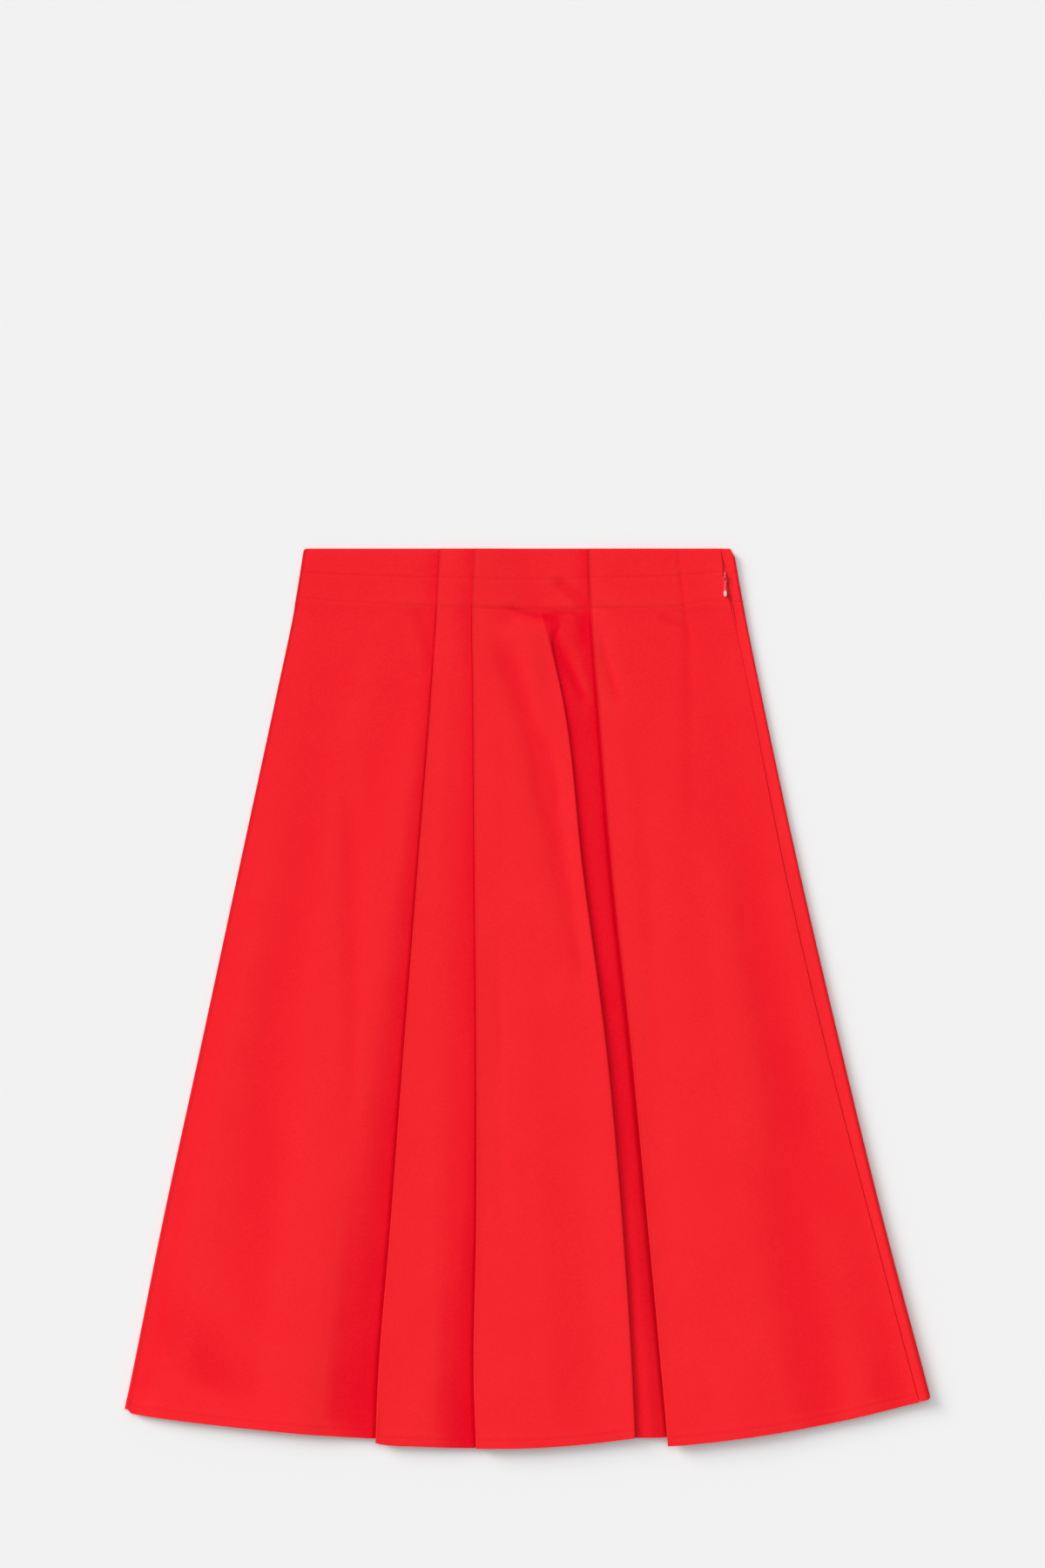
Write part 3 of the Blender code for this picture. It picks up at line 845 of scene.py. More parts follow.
def front_spans() -> list[Span]:
    """The front's spans, from its seam under the left edge to the side seam on the right.

    Returns:
        The spans, in their order along the cloth.
    """
    left, sizes = LINES.named["left"], ROLL.sizes
    hems = [table_line(t) for t in (HEM_LEFT, HEM_MIDDLE, HEM_UNDER, HEM_RIGHT, HEM_WRAP)]
    hem_left, hem_middle, hem_under, hem_right, hem_wrap = hems
    left_fold = fold_centre(left, floor_layer, base, -1)
    edge_a, pleat_a = knife_pleat("a", hem_left)
    edge_b, pleat_b = knife_pleat("b", hem_middle)
    edge_c, pleat_c = knife_pleat("c", hem_under)
    over_a, over_c = panel_height("a"), panel_height("c")
    to_a, to_b, to_c = (shifted(LINES.named[p.edge], BESIDE_EDGE[0]) for p in PLEATS.values())
    wrap = run(shifted(left, LEFT_WRAP), left_fold, floor_layer)
    fold = turn(left_fold, floor_layer, base, -1)
    seam, groove = LINES.front_edge, shifted(LINES.front_edge, -SEAM_GROOVE)
    roll_hem = level_line(sizes.hem)
    # The left fold's edge, the roll, the cloth under it and the seam's groove get painted shade.
    return [
        Span(wrap, 3, hem_wrap),
        Span(fold, 12, level_line(LEFT_FOLD_HEM), (0.4, 1.2, 0.4), pressed=(1.0, 0.5)),
        Span(run(left_fold, to_a, base), 52, hem_left),
        *pleat_a,
        Span(run(edge_a, to_b, over_a), 28, hem_middle, crowding=1.25),
        *pleat_b,
        Span(run(edge_b, ROLL.start, centre_height), 44, hem_middle, crowding=1.1),
        *(Span(ROLL.bend(n), faces, roll_hem, sunk=ROLL_SHADE) for n, faces in enumerate(sizes.faces)),
        Span(run(ROLL.end, to_c, base), 22, hem_under, sunk=UNDERLAY_SHADE),
        *pleat_c,
        Span(run(edge_c, groove, over_c), 60, hem_right, crowding=1.15),
        Span(run(groove, seam, over_c), 2, hem_right, sunk=SEAM_SHADE),
    ]


def back_spans() -> list[Span]:
    """The back's spans, from the seam under the left edge to the side seam on top of the right.

    Returns:
        The spans, in their order along the cloth.
    """
    right, seam = LINES.named["right"], LINES.strip_edge
    hem = rounded_end(table_line(HEM_BACK), float(right(HEM_LEVEL)), 1)
    right_fold = fold_centre(right, floor_layer, base, 1)
    start, groove = shifted(LINES.named["left"], LEFT_WRAP + SEAM_GAP), shifted(seam, SEAM_GROOVE)
    # The strip beyond the side seam gets painted light, and the seam's groove painted shade.
    return [
        Span(run(start, right_fold, floor_layer), 60, hem),
        Span(turn(right_fold, floor_layer, base, 1), 12, hem, (0.8, 7.0, 2.4), sunk=STRIP_LIGHT),
        Span(run(right_fold, groove, base), 8, hem, (2.4, 0.5, 0.0), sunk=STRIP_LIGHT),
        Span(run(groove, seam, base), 2, hem, sunk=SEAM_SHADE),
    ]


def levels_down() -> Field:
    """The levels of a cut piece's rows: close together at its sewn rows and at its hem."""
    return np.concatenate([*(np.arange(*band) for band in LEVEL_BANDS), np.linspace(*HEM_LEVELS)])


def straightened(x: Field, below: Field, hem: Field) -> Field:
    """The distance down the cloth, stretched so that each row of stitches lies level.

    Args:
        x: The points' x.
        below: Their distances below the waist.
        hem: How far below the waist the hem lies at each.
    Returns:
        The stretched distance, which is the same all along a row.
    """
    rows = [np.interp(x, *np.array(row).T) for row in (ROW_ONE, ROW_TWO)]
    knots = [0.0 * x, *rows, hem - HEM_STITCH, hem]
    level = 0.0 * x
    for near, far, start, end in zip(knots[:-1], knots[1:], ROW_LEVELS[:-1], ROW_LEVELS[1:]):
        level = level + (end - start) * np.clip((below - near) / (far - near), 0.0, 1.0)
    return level


@dataclass
class ClothGrid:
    """The middle surface of a cut piece: a row for each level, a column across.

    Args:
        points: Its points, in millimetres.
        grain: The map that the twill follows, in metres.
        rows: The map in which each row of stitches lies level, in metres.
        extra: How much thicker it is on its outer face.
        pressed: How much painted shade darkens it at its fold edges.
        sunk: How much painted shade darkens it in folds; under 0 it paints it lighter.
    """

    points: Field
    grain: Field
    rows: Field
    extra: Field
    pressed: Field
    sunk: Field

    @classmethod
    def lay(cls, spans: Sequence[Span]) -> "ClothGrid":
        """Lays the spans side by side.

        Args:
            spans: The piece's spans, from left to right.
        Returns:
            The grid.
        """
        level = levels_down()[:, None] / LENGTH
        blocks = []
        for number, span in enumerate(spans):
            share = span.shares(span.faces)[:, min(number, 1):]
            hem = span.hem_below(share) + 0.0 * level
            below = mix(through(span.top, share), hem, level)
            x, z = span.place(share, below)
            # Shares of painted shade: on fold edges, and in folds from the waist's rows down.
            pressed = mix(*span.pressed, level) + 0.0 * x
            sunk = mix(*span.sunk, level) * ease(below, *SHADE_FROM)
            blocks.append(np.stack([x, LENGTH / 2 - below, z, below, hem, pressed, sunk], axis=-1))
        cells = np.concatenate(blocks, axis=1)
        points = cells[..., :3]
        below, hem, pressed, sunk = np.moveaxis(cells[..., 3:], -1, 0)
        steps = np.linalg.norm(np.diff(points, axis=1), axis=-1)
        across = np.concatenate([np.zeros((len(points), 1)), np.cumsum(steps, axis=1)], axis=1)
        across -= across[:, across.shape[1] // 2][:, None]
        grain = np.stack([across, below], axis=-1) * MM
        x = points[..., 0]
        rows = np.stack([x, straightened(x, below, hem)], axis=-1) * MM
        extra = HEM_EXTRA * ease(below, hem - HEM_BAND - BAND_EDGE, hem - HEM_BAND)
        extra = extra + WAIST_EXTRA * (1 - ease(below, *WAIST_BAND)) * ease(below, 0.0, BAND_EDGE)
        return cls(points, grain, rows, extra, pressed, sunk)

    def solid(self, name: str) -> Piece:
        """The piece as a closed wall of cloth.

        Args:
            name: The piece's name.
        Returns:
            Its object, with the maps "grain" and "rows".
        """
        across = np.gradient(self.points, axis=1)
        down = np.gradient(self.points, axis=0)
        normal = np.cross(down, across)
        normal /= np.linalg.norm(normal, axis=-1, keepdims=True)
        outer = self.points + normal * (WALL / 2 + self.extra)[..., None]
        inner = self.points - normal * WALL / 2
        height, width = self.points.shape[:2]
        index = np.arange(height * width).reshape(height, width)
        under = index + height * width
        faces = np.stack([index[:-1, :-1], index[1:, :-1], index[1:, 1:], index[:-1, 1:]], axis=-1)
        backs = np.stack([under[:-1, :-1], under[:-1, 1:], under[1:, 1:], under[1:, :-1]], axis=-1)
        round_edge = np.concatenate([index[:, 0], index[-1, 1:], index[-2::-1, -1], index[0, -2::-1]])
        a, b = round_edge[:-1], round_edge[1:]
        rim = np.stack([b, a, a + height * width, b + height * width], axis=-1)
        quads = np.concatenate([faces.reshape(-1, 4), backs.reshape(-1, 4), rim])
        vertices = np.concatenate([outer.reshape(-1, 3), inner.reshape(-1, 3)]) * MM
        mesh = bpy.data.meshes.new(name)
        mesh.from_pydata(vertices.tolist(), [], quads.tolist())
        corners = np.array([loop.vertex_index for loop in mesh.loops])
        for title, values in (("grain", self.grain), ("rows", self.rows)):
            layer = mesh.uv_layers.new(name=title)
            flat = values.reshape(-1, 2)
            layer.data.foreach_set("uv", np.concatenate([flat, flat])[corners].ravel())
        # The shares of painted shade go on the mesh for its material.
        for title, values in (("pressed", self.pressed), ("sunk", self.sunk)):
            shares = mesh.attributes.new(title, "FLOAT", "POINT")
            shares.data.foreach_set("value", np.concatenate([values.ravel()] * 2))
        mesh.shade_smooth()
        mesh.set_sharp_from_angle(angle=SHARP)
        return linked(name, mesh)

    def flat_area(self) -> float:
        """The area of its cloth, in square metres."""
        across = np.diff(self.points[:-1], axis=1)
        down = np.diff(self.points[:, :-1], axis=0)
        return float(np.linalg.norm(np.cross(across, down), axis=-1).sum()) * MM * MM

    def widest(self, digits: int) -> float:
        """The longest way across its cloth, in metres, rounded up to a number of digits."""
        width = float(np.linalg.norm(np.diff(self.points, axis=1), axis=-1).sum(axis=1).max()) * MM
        return round(width + ROUNDING, digits)


def linked(name: str, mesh: bpy.types.Mesh) -> Piece:
    """A new object for a mesh, in the scene."""
    piece = bpy.data.objects.new(name, mesh)
    bpy.context.scene.collection.objects.link(piece)
    return piece


# Finishes


class Shader:
    """A material's node tree, with short calls for the nodes that these finishes use."""

    def __init__(self, name: str, roughness: float, specular: float) -> None:
        """Starts a material with its Principled BSDF.

        Args:
            name: The material's name.
            roughness: The surface's roughness.
            specular: How much it shines.
        """
        self.material = bpy.data.materials.new(name)
        self.material.use_nodes = True
        self.tree = self.material.node_tree
        self.surface = self.tree.nodes["Principled BSDF"]
        self.set(Roughness=roughness, Specular_IOR_Level=specular)

    def set(self, **values: float) -> None:
        """Sets the surface's own sockets, named with underscores for spaces."""
        for name, value in values.items():
            self.surface.inputs[name.replace("_", " ")].default_value = value

    def feed(self, socket: Socket, value: Socket | float | Sequence[float]) -> None:
        """Links a socket to another one, or sets its value.

        Args:
            socket: The socket to feed.
            value: The other socket, or the value.
        """
        if isinstance(value, Socket):
            self.tree.links.new(value, socket)
        else:
            socket.default_value = value

    def node(self, kind: str, **inputs: Socket | float) -> bpy.types.Node:
        """A new node with the given inputs.

        Args:
            kind: The node's type.
            inputs: For each named input, the socket that feeds it or its value.
        Returns:
            The node.
        """
        node = self.tree.nodes.new(kind)
        for name, value in inputs.items():
            self.feed(node.inputs[name], value)
        return node

    def math(self, operation: str, *values: Socket | float) -> Socket:
        """A Math node of sockets and numbers.

        Args:
            operation: What it works out.
            values: What feeds its inputs, in order.
        Returns:
            Its result.
        """
        node = self.node("ShaderNodeMath")
        node.operation = operation
        for socket, value in zip(node.inputs, values):
            self.feed(socket, value)
        return node.outputs[0]

    def plus(self, first: Socket, second: Socket | float) -> Socket:
        """The sum of two values."""
        return self.math("ADD", first, second)

    def times(self, first: Socket, second: Socket | float) -> Socket:
        """The product of two values."""
        return self.math("MULTIPLY", first, second)

    def wave(self, value: Socket, length: float) -> Socket:
        """A sine wave of a length in metres."""
        return self.math("SINE", self.times(value, math.tau / length))

    def about_one(self, value: Socket, share: float) -> Socket:
        """A factor about 1, which a value about 0 moves by a share."""
        return self.plus(self.times(value, share), 1.0)

    def hump(self, value: Socket, middle: float, reach: float) -> Socket:
        """1 where a value is at the middle, and 0 past the reach, smooth between."""
        near = self.math("DIVIDE", self.math("SUBTRACT", value, middle), reach)
        return self.math("EXPONENT", self.times(self.times(near, near), -1.0))

    def axes(self, place: Socket) -> tuple[Socket, Socket]:
        """The first two axes of a place."""
        split = self.node("ShaderNodeSeparateXYZ", Vector=place)
        return split.outputs[0], split.outputs[1]

    def map_axes(self, uv: str) -> tuple[Socket, Socket]:
        """The two axes of one of the piece's own maps, in metres."""
        source = self.node("ShaderNodeUVMap")
        source.uv_map = uv
        return self.axes(source.outputs["UV"])

    def object_place(self) -> Socket:
        """The place on the object, in metres."""
        return self.node("ShaderNodeTexCoord").outputs["Object"]

    def noise(self, place: Socket, size: float, detail: float = 2.0) -> Socket:
        """Noise about 0, from -0.5 to 0.5, with spots of a size in metres."""
        node = self.node("ShaderNodeTexNoise", Scale=1.0 / size, Detail=detail, Vector=place)
        return self.math("SUBTRACT", node.outputs["Fac"], 0.5)

    def attribute(self, name: str) -> Socket:
        """One of the piece's own values."""
        node = self.node("ShaderNodeAttribute")
        node.attribute_name = name
        return node.outputs["Fac"]

    def bump(self, height: Socket) -> None:
        """Raises the surface by a height in metres."""
        node = self.node("ShaderNodeBump", Strength=1.0, Distance=1.0, Height=height)
        self.feed(self.surface.inputs["Normal"], node.outputs["Normal"])

    def scaled(self, colour: Socket | Sequence[float], factor: Socket) -> Socket:
        """A colour times a factor.

        Args:
            colour: The colour, as a socket or as numbers.
            factor: The factor.
        Returns:
            The product.
        """
        node = self.node("ShaderNodeVectorMath")
        node.operation = "SCALE"
        self.feed(node.inputs[0], colour)
        self.feed(node.inputs["Scale"], factor)
        return node.outputs[0]

    def shade(self, colour: Colour, factor: Socket) -> None:
        """Makes the surface a colour times a factor about 1."""
        self.feed(self.surface.inputs["Base Color"], self.scaled(colour[:3], factor))

    def shade_between(self, ends: tuple[Colour, Colour], share: Socket, factor: Socket) -> None:
        """Mixes the surface's colour from two.

        Args:
            ends: The colours where the share is 0 and where it is 1.
            share: The share, which may pass both.
            factor: A factor about 1 for the mixed colour.
        """
        start, end = (colour[:3] for colour in ends)
        total = self.node("ShaderNodeVectorMath")
        self.feed(total.inputs[0], self.scaled([b - a for a, b in zip(start, end)], share))
        self.feed(total.inputs[1], start)
        self.feed(self.surface.inputs["Base Color"], self.scaled(total.outputs[0], factor))


@dataclass(frozen=True)
class TwillFinish:
    """Fine twill: its colour on open cloth and a shade colour painted deep in a fold and on fold edges,
    its diagonal ribs, the dips that its sewn rows press into it, with painted shade in them, its
    rumples, and the clouds and flecks of its colour."""

    colour: Colour = (0.880, 0.0159, 0.0240, 1.0)
    # The colour painted where shade falls deep in a fold.
    shade_colour: Colour = (0.80, 0.0010, 0.0150, 1.0)
    roughness: float = 0.62
    specular: float = 0.03
    # How much painted shade darkens the fold edges.
    edge_shade: float = 0.30
    rib: float = 0.0009
    rib_height: float = 0.00003
    thread: float = 0.00045
    row_dip: float = 0.00012
    row_reach: float = 0.0013
    row_shade: float = 0.03
    stitch: float = 0.0027
    stitch_share: float = 0.3
    rumple: float = 0.016
    rumple_height: float = 0.00022
    cloud: float = 0.04
    cloud_detail: float = 3.0
    cloudy: float = 0.34
    fleck: float = 0.0016
    fleck_detail: float = 1.0
    flecked: float = 0.55
    speckled: float = 0.08

    def material(self, name: str) -> Material:
        """The finish as a material that follows the maps "grain" and "rows".

        Args:
            name: The material's name.
        Returns:
            The material.
        """
        shader = Shader(name, self.roughness, self.specular)
        plus, times = shader.plus, shader.times
        across, down = shader.map_axes("grain")
        ribs = plus(shader.wave(plus(across, down), self.rib), shader.wave(down, self.thread))
        weave = times(ribs, self.rib_height / 2)
        along, off = shader.map_axes("rows")
        first, second, hem = (shader.hump(off, level * MM, self.row_reach) for level in ROW_LEVELS[1:4])
        pressed = plus(plus(first, second), hem)
        beat = shader.about_one(shader.wave(along, self.stitch), self.stitch_share)
        dip = times(times(pressed, beat), -self.row_dip)
        place = shader.object_place()
        rumple = times(shader.noise(place, self.rumple), self.rumple_height)
        shader.bump(plus(plus(weave, dip), rumple))
        cloud = times(shader.noise(place, self.cloud, self.cloud_detail), self.cloudy)
        fleck = times(shader.noise(place, self.fleck, self.fleck_detail), self.flecked)
        # Painted shade: the relief and fold shares move the colour towards the shade colour in folds, and
        # away from it on crests and on the strip, as painted light.
        depth = shader.math("MINIMUM", plus(shader.attribute("relief_shade"), shader.attribute("sunk")), 1.0)
        deep = plus(plus(cloud, fleck), depth)
        # Painted shade along the fold edges and in the dips of the sewn rows.
        painted_light = plus(times(shader.attribute("pressed"), self.edge_shade), times(pressed, self.row_shade))
        factor = shader.math("SUBTRACT", 1.0, painted_light)
        factor = shader.math("SUBTRACT", factor, times(fleck, self.speckled))
        shader.shade_between((self.colour, self.shade_colour), deep, factor)
        return shader.material


@dataclass(frozen=True)
class PlainFinish:
    """A finish in one colour, which a pattern raises by a height and varies by a share."""

    colour: Colour
    roughness: float
    specular: float
    size: float
    height: float
    varied: float
    coat: float = 0.0
    coat_roughness: float = 0.03

    def pattern(self, shader: Shader) -> Socket:
        """Spots of its size."""
        return shader.noise(shader.object_place(), self.size)

    def material(self, name: str) -> Material:
        """The finish as a material.

        Args:
            name: The material's name.
        Returns:
            The material.
        """
        shader = Shader(name, self.roughness, self.specular)
        shader.set(Coat_Weight=self.coat, Coat_Roughness=self.coat_roughness)
        pattern = self.pattern(shader)
        if self.height:
            shader.bump(shader.times(pattern, self.height))
        shader.shade(self.colour, shader.about_one(pattern, self.varied))
        return shader.material


@dataclass(frozen=True)
class ThreadFinish(PlainFinish):
    """Sewing thread in the cloth's own red, with the turns of its ply."""

    colour: Colour = (0.84, 0.012, 0.021, 1.0)
    roughness: float = 0.6
    specular: float = 0.06
    size: float = 0.0005
    height: float = 0.00003
    varied: float = 0.04

    def pattern(self, shader: Shader) -> Socket:
        """Slanting turns."""
        across, up = shader.axes(shader.object_place())
        return shader.wave(shader.plus(across, up), self.size)


@dataclass(frozen=True)
class TapeFinish(PlainFinish):
    """The zip's woven tape, a lighter and duller red than the cloth."""

    colour: Colour = (0.86, 0.022, 0.034, 1.0)
    roughness: float = 0.7
    specular: float = 0.06
    size: float = 0.0011
    height: float = 0.00005
    varied: float = 0.06

    def pattern(self, shader: Shader) -> Socket:
        """A weave."""
        across, up = shader.axes(shader.object_place())
        return shader.times(shader.wave(across, self.size), shader.wave(up, self.size))


@dataclass(frozen=True)
class PaintFinish(PlainFinish):
    """Glossy paint on the zip's metal, rubbed a little paler in spots. A pale colour of it makes the
    pull's painted highlight.
    """

    colour: Colour = (0.76, 0.022, 0.034, 1.0)
    roughness: float = 0.3
    specular: float = 0.4
    size: float = 0.0009
    height: float = 0.00002
    varied: float = 0.3
    coat: float = 0.3
    coat_roughness: float = 0.12


@dataclass(frozen=True)
class FloorFinish(PlainFinish):
    """The pale paper that the skirt lies on."""

    colour: Colour = (0.86, 0.86, 0.86, 1.0)
    roughness: float = 0.95
    specular: float = 0.0
    size: float = 0.004
    height: float = 0.0
    varied: float = 0.004


# What repeats along a path


# The nodes of the beads' tree, by their names in it.
BEAD_NODES = {
    "given": "NodeGroupInput",
    "path": "GeometryNodeMeshToCurve",
    "spaced": "GeometryNodeResampleCurve",
    "bead": "GeometryNodeMeshUVSphere",
    "aim": "FunctionNodeAlignRotationToVector",
    "tangent": "GeometryNodeInputTangent",
    "varied": "FunctionNodeRandomValue",
    "longer": "ShaderNodeMath",
    "size": "ShaderNodeCombineXYZ",
    "placed": "GeometryNodeInstanceOnPoints",
    "real": "GeometryNodeRealizeInstances",
    "smooth": "GeometryNodeSetShadeSmooth",
    "finish": "GeometryNodeSetMaterial",
    "result": "NodeGroupOutput",
}

# Each link of that tree: from a node and its output, to a node and its input.
BEAD_LINKS = (
    ("given", "Geometry", "path", "Mesh"),
    ("path", "Curve", "spaced", "Curve"),
    ("given", "Pitch", "spaced", "Length"),
    ("tangent", "Tangent", "aim", "Vector"),
    ("given", "Length", "longer", 0),
    ("varied", 1, "longer", 1),
    ("longer", 0, "size", "X"),
    ("given", "Width", "size", "Y"),
    ("given", "Height", "size", "Z"),
    ("spaced", "Curve", "placed", "Points"),
    ("bead", "Mesh", "placed", "Instance"),
    ("aim", "Rotation", "placed", "Rotation"),
    ("size", "Vector", "placed", "Scale"),
    ("placed", "Instances", "real", "Geometry"),
    ("real", "Geometry", "smooth", "Geometry"),
    ("smooth", "Geometry", "finish", "Geometry"),
    ("finish", "Geometry", "result", "Geometry"),
)


@dataclass(frozen=True)
class BeadRow:
    """A row of small rounded pieces along paths: stitches, or the turns of a zip's coil.

    A bead is an ellipsoid whose length lies along the path, and differs by up to the uneven share.
    """

    pitch: float
    length: float
    width: float
    height: float
    seed: int = 1
    uneven: float = 0.08
    round_steps: tuple[int, int] = (8, 6)

    def tree(self, material: Material) -> bpy.types.GeometryNodeTree:
        """The node tree that lays the beads along the paths of a mesh of edges.

        Args:
            material: The beads' finish.
        Returns:
            The tree, with named inputs for a bead's sizes.
        """
        tree = bpy.data.node_groups.new("bead row", "GeometryNodeTree")
        tree.interface.new_socket("Geometry", in_out="INPUT", socket_type="NodeSocketGeometry")
        for name in ("Pitch", "Length", "Width", "Height"):
            tree.interface.new_socket(name, in_out="INPUT", socket_type="NodeSocketFloat")
        tree.interface.new_socket("Geometry", in_out="OUTPUT", socket_type="NodeSocketGeometry")
        nodes = {name: tree.nodes.new(kind) for name, kind in BEAD_NODES.items()}
        nodes["spaced"].mode = "LENGTH"
        nodes["aim"].axis = "X"
        nodes["varied"].data_type = "FLOAT"
        nodes["longer"].operation = "MULTIPLY"
        segments, rings = self.round_steps
        for name, socket, value in (
            ("bead", "Segments", segments), ("bead", "Rings", rings), ("bead", "Radius", 0.5),
            ("varied", 2, 1 - self.uneven), ("varied", 3, 1 + self.uneven), ("varied", "Seed", self.seed),
            ("finish", "Material", material),
        ):
            nodes[name].inputs[socket].default_value = value
        for source, output, target, into in BEAD_LINKS:
            tree.links.new(nodes[source].outputs[output], nodes[target].inputs[into])
        return tree

    def lay(self, name: str, paths: Sequence[Sequence[Vector]], material: Material) -> Piece:
        """Lays the beads along paths.

        Args:
            name: The piece's name.
            paths: Points in metres, a list for each unbroken run.
            material: The beads' finish.
        Returns:
            One mesh of all the beads.
        """
        points = [tuple(p) for path in paths for p in path]
        starts = np.cumsum([0] + [len(path) for path in paths])
        edges = [(i, i + 1) for a, b in zip(starts[:-1], starts[1:]) for i in range(a, b - 1)]
        guide_mesh = bpy.data.meshes.new(name + "_guide")
        guide_mesh.from_pydata(points, edges, [])
        guide = linked(name + "_guide", guide_mesh)
        modifier = guide.modifiers.new("beads", "NODES")
        modifier.node_group = self.tree(material)
        for item in modifier.node_group.interface.items_tree:
            if item.in_out == "INPUT" and item.name != "Geometry":
                modifier[item.identifier] = getattr(self, item.name.lower()) * MM
        depsgraph = bpy.context.evaluated_depsgraph_get()
        mesh = bpy.data.meshes.new_from_object(guide.evaluated_get(depsgraph))
        mesh.name = name
        guide.modifiers.clear()
        bpy.data.objects.remove(guide)
        return linked(name, mesh)


# How far over or under the skirt a ray starts, in metres.
FAR = 0.05


class Surfaces:
    """The finished cloth, as something that stitches can be laid on."""

    def __init__(self, pieces: Sequence[Piece]) -> None:
        """Reads the pieces' faces.

        Args:
            pieces: The finished cloth.
        """
        vertices, faces = [], []
        for piece in pieces:
            offset = len(vertices)
            vertices += [v.co.copy() for v in piece.data.vertices]
            faces += [tuple(i + offset for i in face.vertices) for face in piece.data.polygons]
        self.tree = BVHTree.FromPolygons(vertices, faces)

    def seat(self, x: float, below: float, side: Side, sunk: float) -> Vector:
        """The point of the cloth over or under a place, in metres, sunk a little into it.

        Args:
            x: The place's x.
            below: Its distance below the waist.
            side: The face of the skirt.
            sunk: How far the point lies in the cloth, in metres.
        Returns:
            The point, or the place on the floor where there is no cloth.
        """
        origin = Vector((x * MM, (LENGTH / 2 - below) * MM, FAR * side.value))
        hit = self.tree.ray_cast(origin, Vector((0, 0, -side.value)))[0]
        return hit - Vector((0, 0, sunk * side.value)) if hit else origin * Vector((1, 1, 0))


@dataclass(frozen=True)
class ReliefShadeMap:
    """How far each point of the laid-out skirt lies under the cloth round it, as a share of painted shade
    for its colour: painted shade in folds, painted light on crests.

    Args:
        cell: The size of its cells.
        half: How many cells it takes from the middle to a side, and to the waist.
        blur: How far round a point it looks, at the waist and at the hem.
        full: The depth that counts as a deep fold, at the waist and at the hem.
        least: The share that the highest crests get; under 0, it paints them lighter.
        most: The share that the deepest folds get.
        widening: Over 1 keeps the blur close to the waist's for longer on the way down.
        clear: How far from the skirt's sides it comes in.
        on_cloth: The height over which a point is on the cloth.
        least_held: The least share of cloth round a point that it reckons with.
    """

    cell: float = 3.0
    half: tuple[int, int] = (120, 128)
    blur: Ends = (8.0, 30.0)
    full: Ends = (1.0, 0.80)
    least: float = -0.15
    most: float = 0.90
    widening: float = 1.7
    clear: float = 40.0
    on_cloth: float = 0.1
    least_held: float = 0.05

    def smoothed(self, values: Field, blur: float) -> Field:
        """A map smoothed both ways.

        Args:
            values: The map.
            blur: How far it is smoothed.
        Returns:
            The smoothed map.
        """
        reach = int(3 * blur / self.cell)
        weight = np.exp(-0.5 * ((np.arange(-reach, reach + 1) * self.cell) / blur) ** 2)
        weight /= weight.sum()
        for axis in (0, 1):
            values = np.apply_along_axis(lambda v: np.convolve(v, weight, mode="same"), axis, values)
        return values

    @staticmethod
    def picked(values: Field, across: Field, up: Field) -> Field:
        """The values of a map between its cells.

        Args:
            values: The map.
            across: How many cells each place lies across it.
            up: How many cells it lies up it.
        Returns:
            The value at each place.
        """
        i, j = up.astype(int), across.astype(int)
        low = mix(values[i, j], values[i, j + 1], across - j)
        high = mix(values[i + 1, j], values[i + 1, j + 1], across - j)
        return mix(low, high, up - i)

    def mark(self, surfaces: Surfaces, pieces: Sequence[Piece]) -> None:
        """Gives each piece its "relief_shade", its share of painted shade: most in a deep fold, 0 on open
        cloth, under 0 on a crest, where it paints light.

        Args:
            surfaces: The cloth, to measure its height on.
            pieces: The pieces that get it.
        """
        columns, rows = (np.arange(-n, n + 1) * self.cell for n in self.half)
        levels = LENGTH / 2 - rows
        top = np.array([[surfaces.seat(x, b, Side.TOP, 0.0).z / MM for x in columns] for b in levels])
        held = np.where(top > self.on_cloth, 1.0, 0.0)
        rounds = [
            self.smoothed(top, blur) / np.maximum(self.smoothed(held, blur), self.least_held)
            for blur in self.blur
        ]
        for piece in pieces:
            x, y, z = np.array([vertex.co for vertex in piece.data.vertices]).T / MM
            share = np.clip((LENGTH / 2 - y) / LENGTH, 0.0, 1.0)
            across, up = (x - columns[0]) / self.cell, (y - rows[0]) / self.cell
            near, far = (self.picked(values, across, up) for values in rounds)
            relief_shade = (mix(near, far, share**self.widening) - z) / mix(*self.full, share)
            left, right = (LINES.named[side](LENGTH * share) for side in ("left", "right"))
            relief_shade *= ease(x, left, left + self.clear) * ease(-x, -right, self.clear - right)
            eased = self.most * (1 - np.exp(-np.maximum(relief_shade, 0.0) / self.most))
            # Painted shade in folds and painted light on crests, by how far a point lies under its
            # surroundings.
            values = piece.data.attributes.new("relief_shade", "FLOAT", "POINT")
            values.data.foreach_set("value", np.maximum(np.where(relief_shade > 0, eased, relief_shade), self.least))


# The skirt's sub-assemblies


@dataclass
class Panels:
    """The two cut pieces of cloth."""

    finish: TwillFinish = field(default_factory=TwillFinish)

    def build(self) -> list[Piece]:
        """Makes the front, with its pleats, and the back.

        Returns:
            The two pieces, the front first.
        """
        cloth = self.finish.material("red twill")
        pieces = []
        for name, node, spans, held in (
            ("front_cloth", "front", front_spans(), "folded"),
            ("back_cloth", "back", back_spans(), "laid"),
        ):
            grid = ClothGrid.lay(spans)
            piece = grid.solid(name)
            piece.data.materials.append(cloth)
            dress(piece, Body.SKIRT, Slot.CLOTH, (node,))
            flat = (grid.widest(3), LENGTH * MM)
            round(grid.flat_area(), 3)
            LOG.info("%s: %d faces, cut %s m", name, len(piece.data.polygons), flat)
            pieces.append(piece)
        return pieces


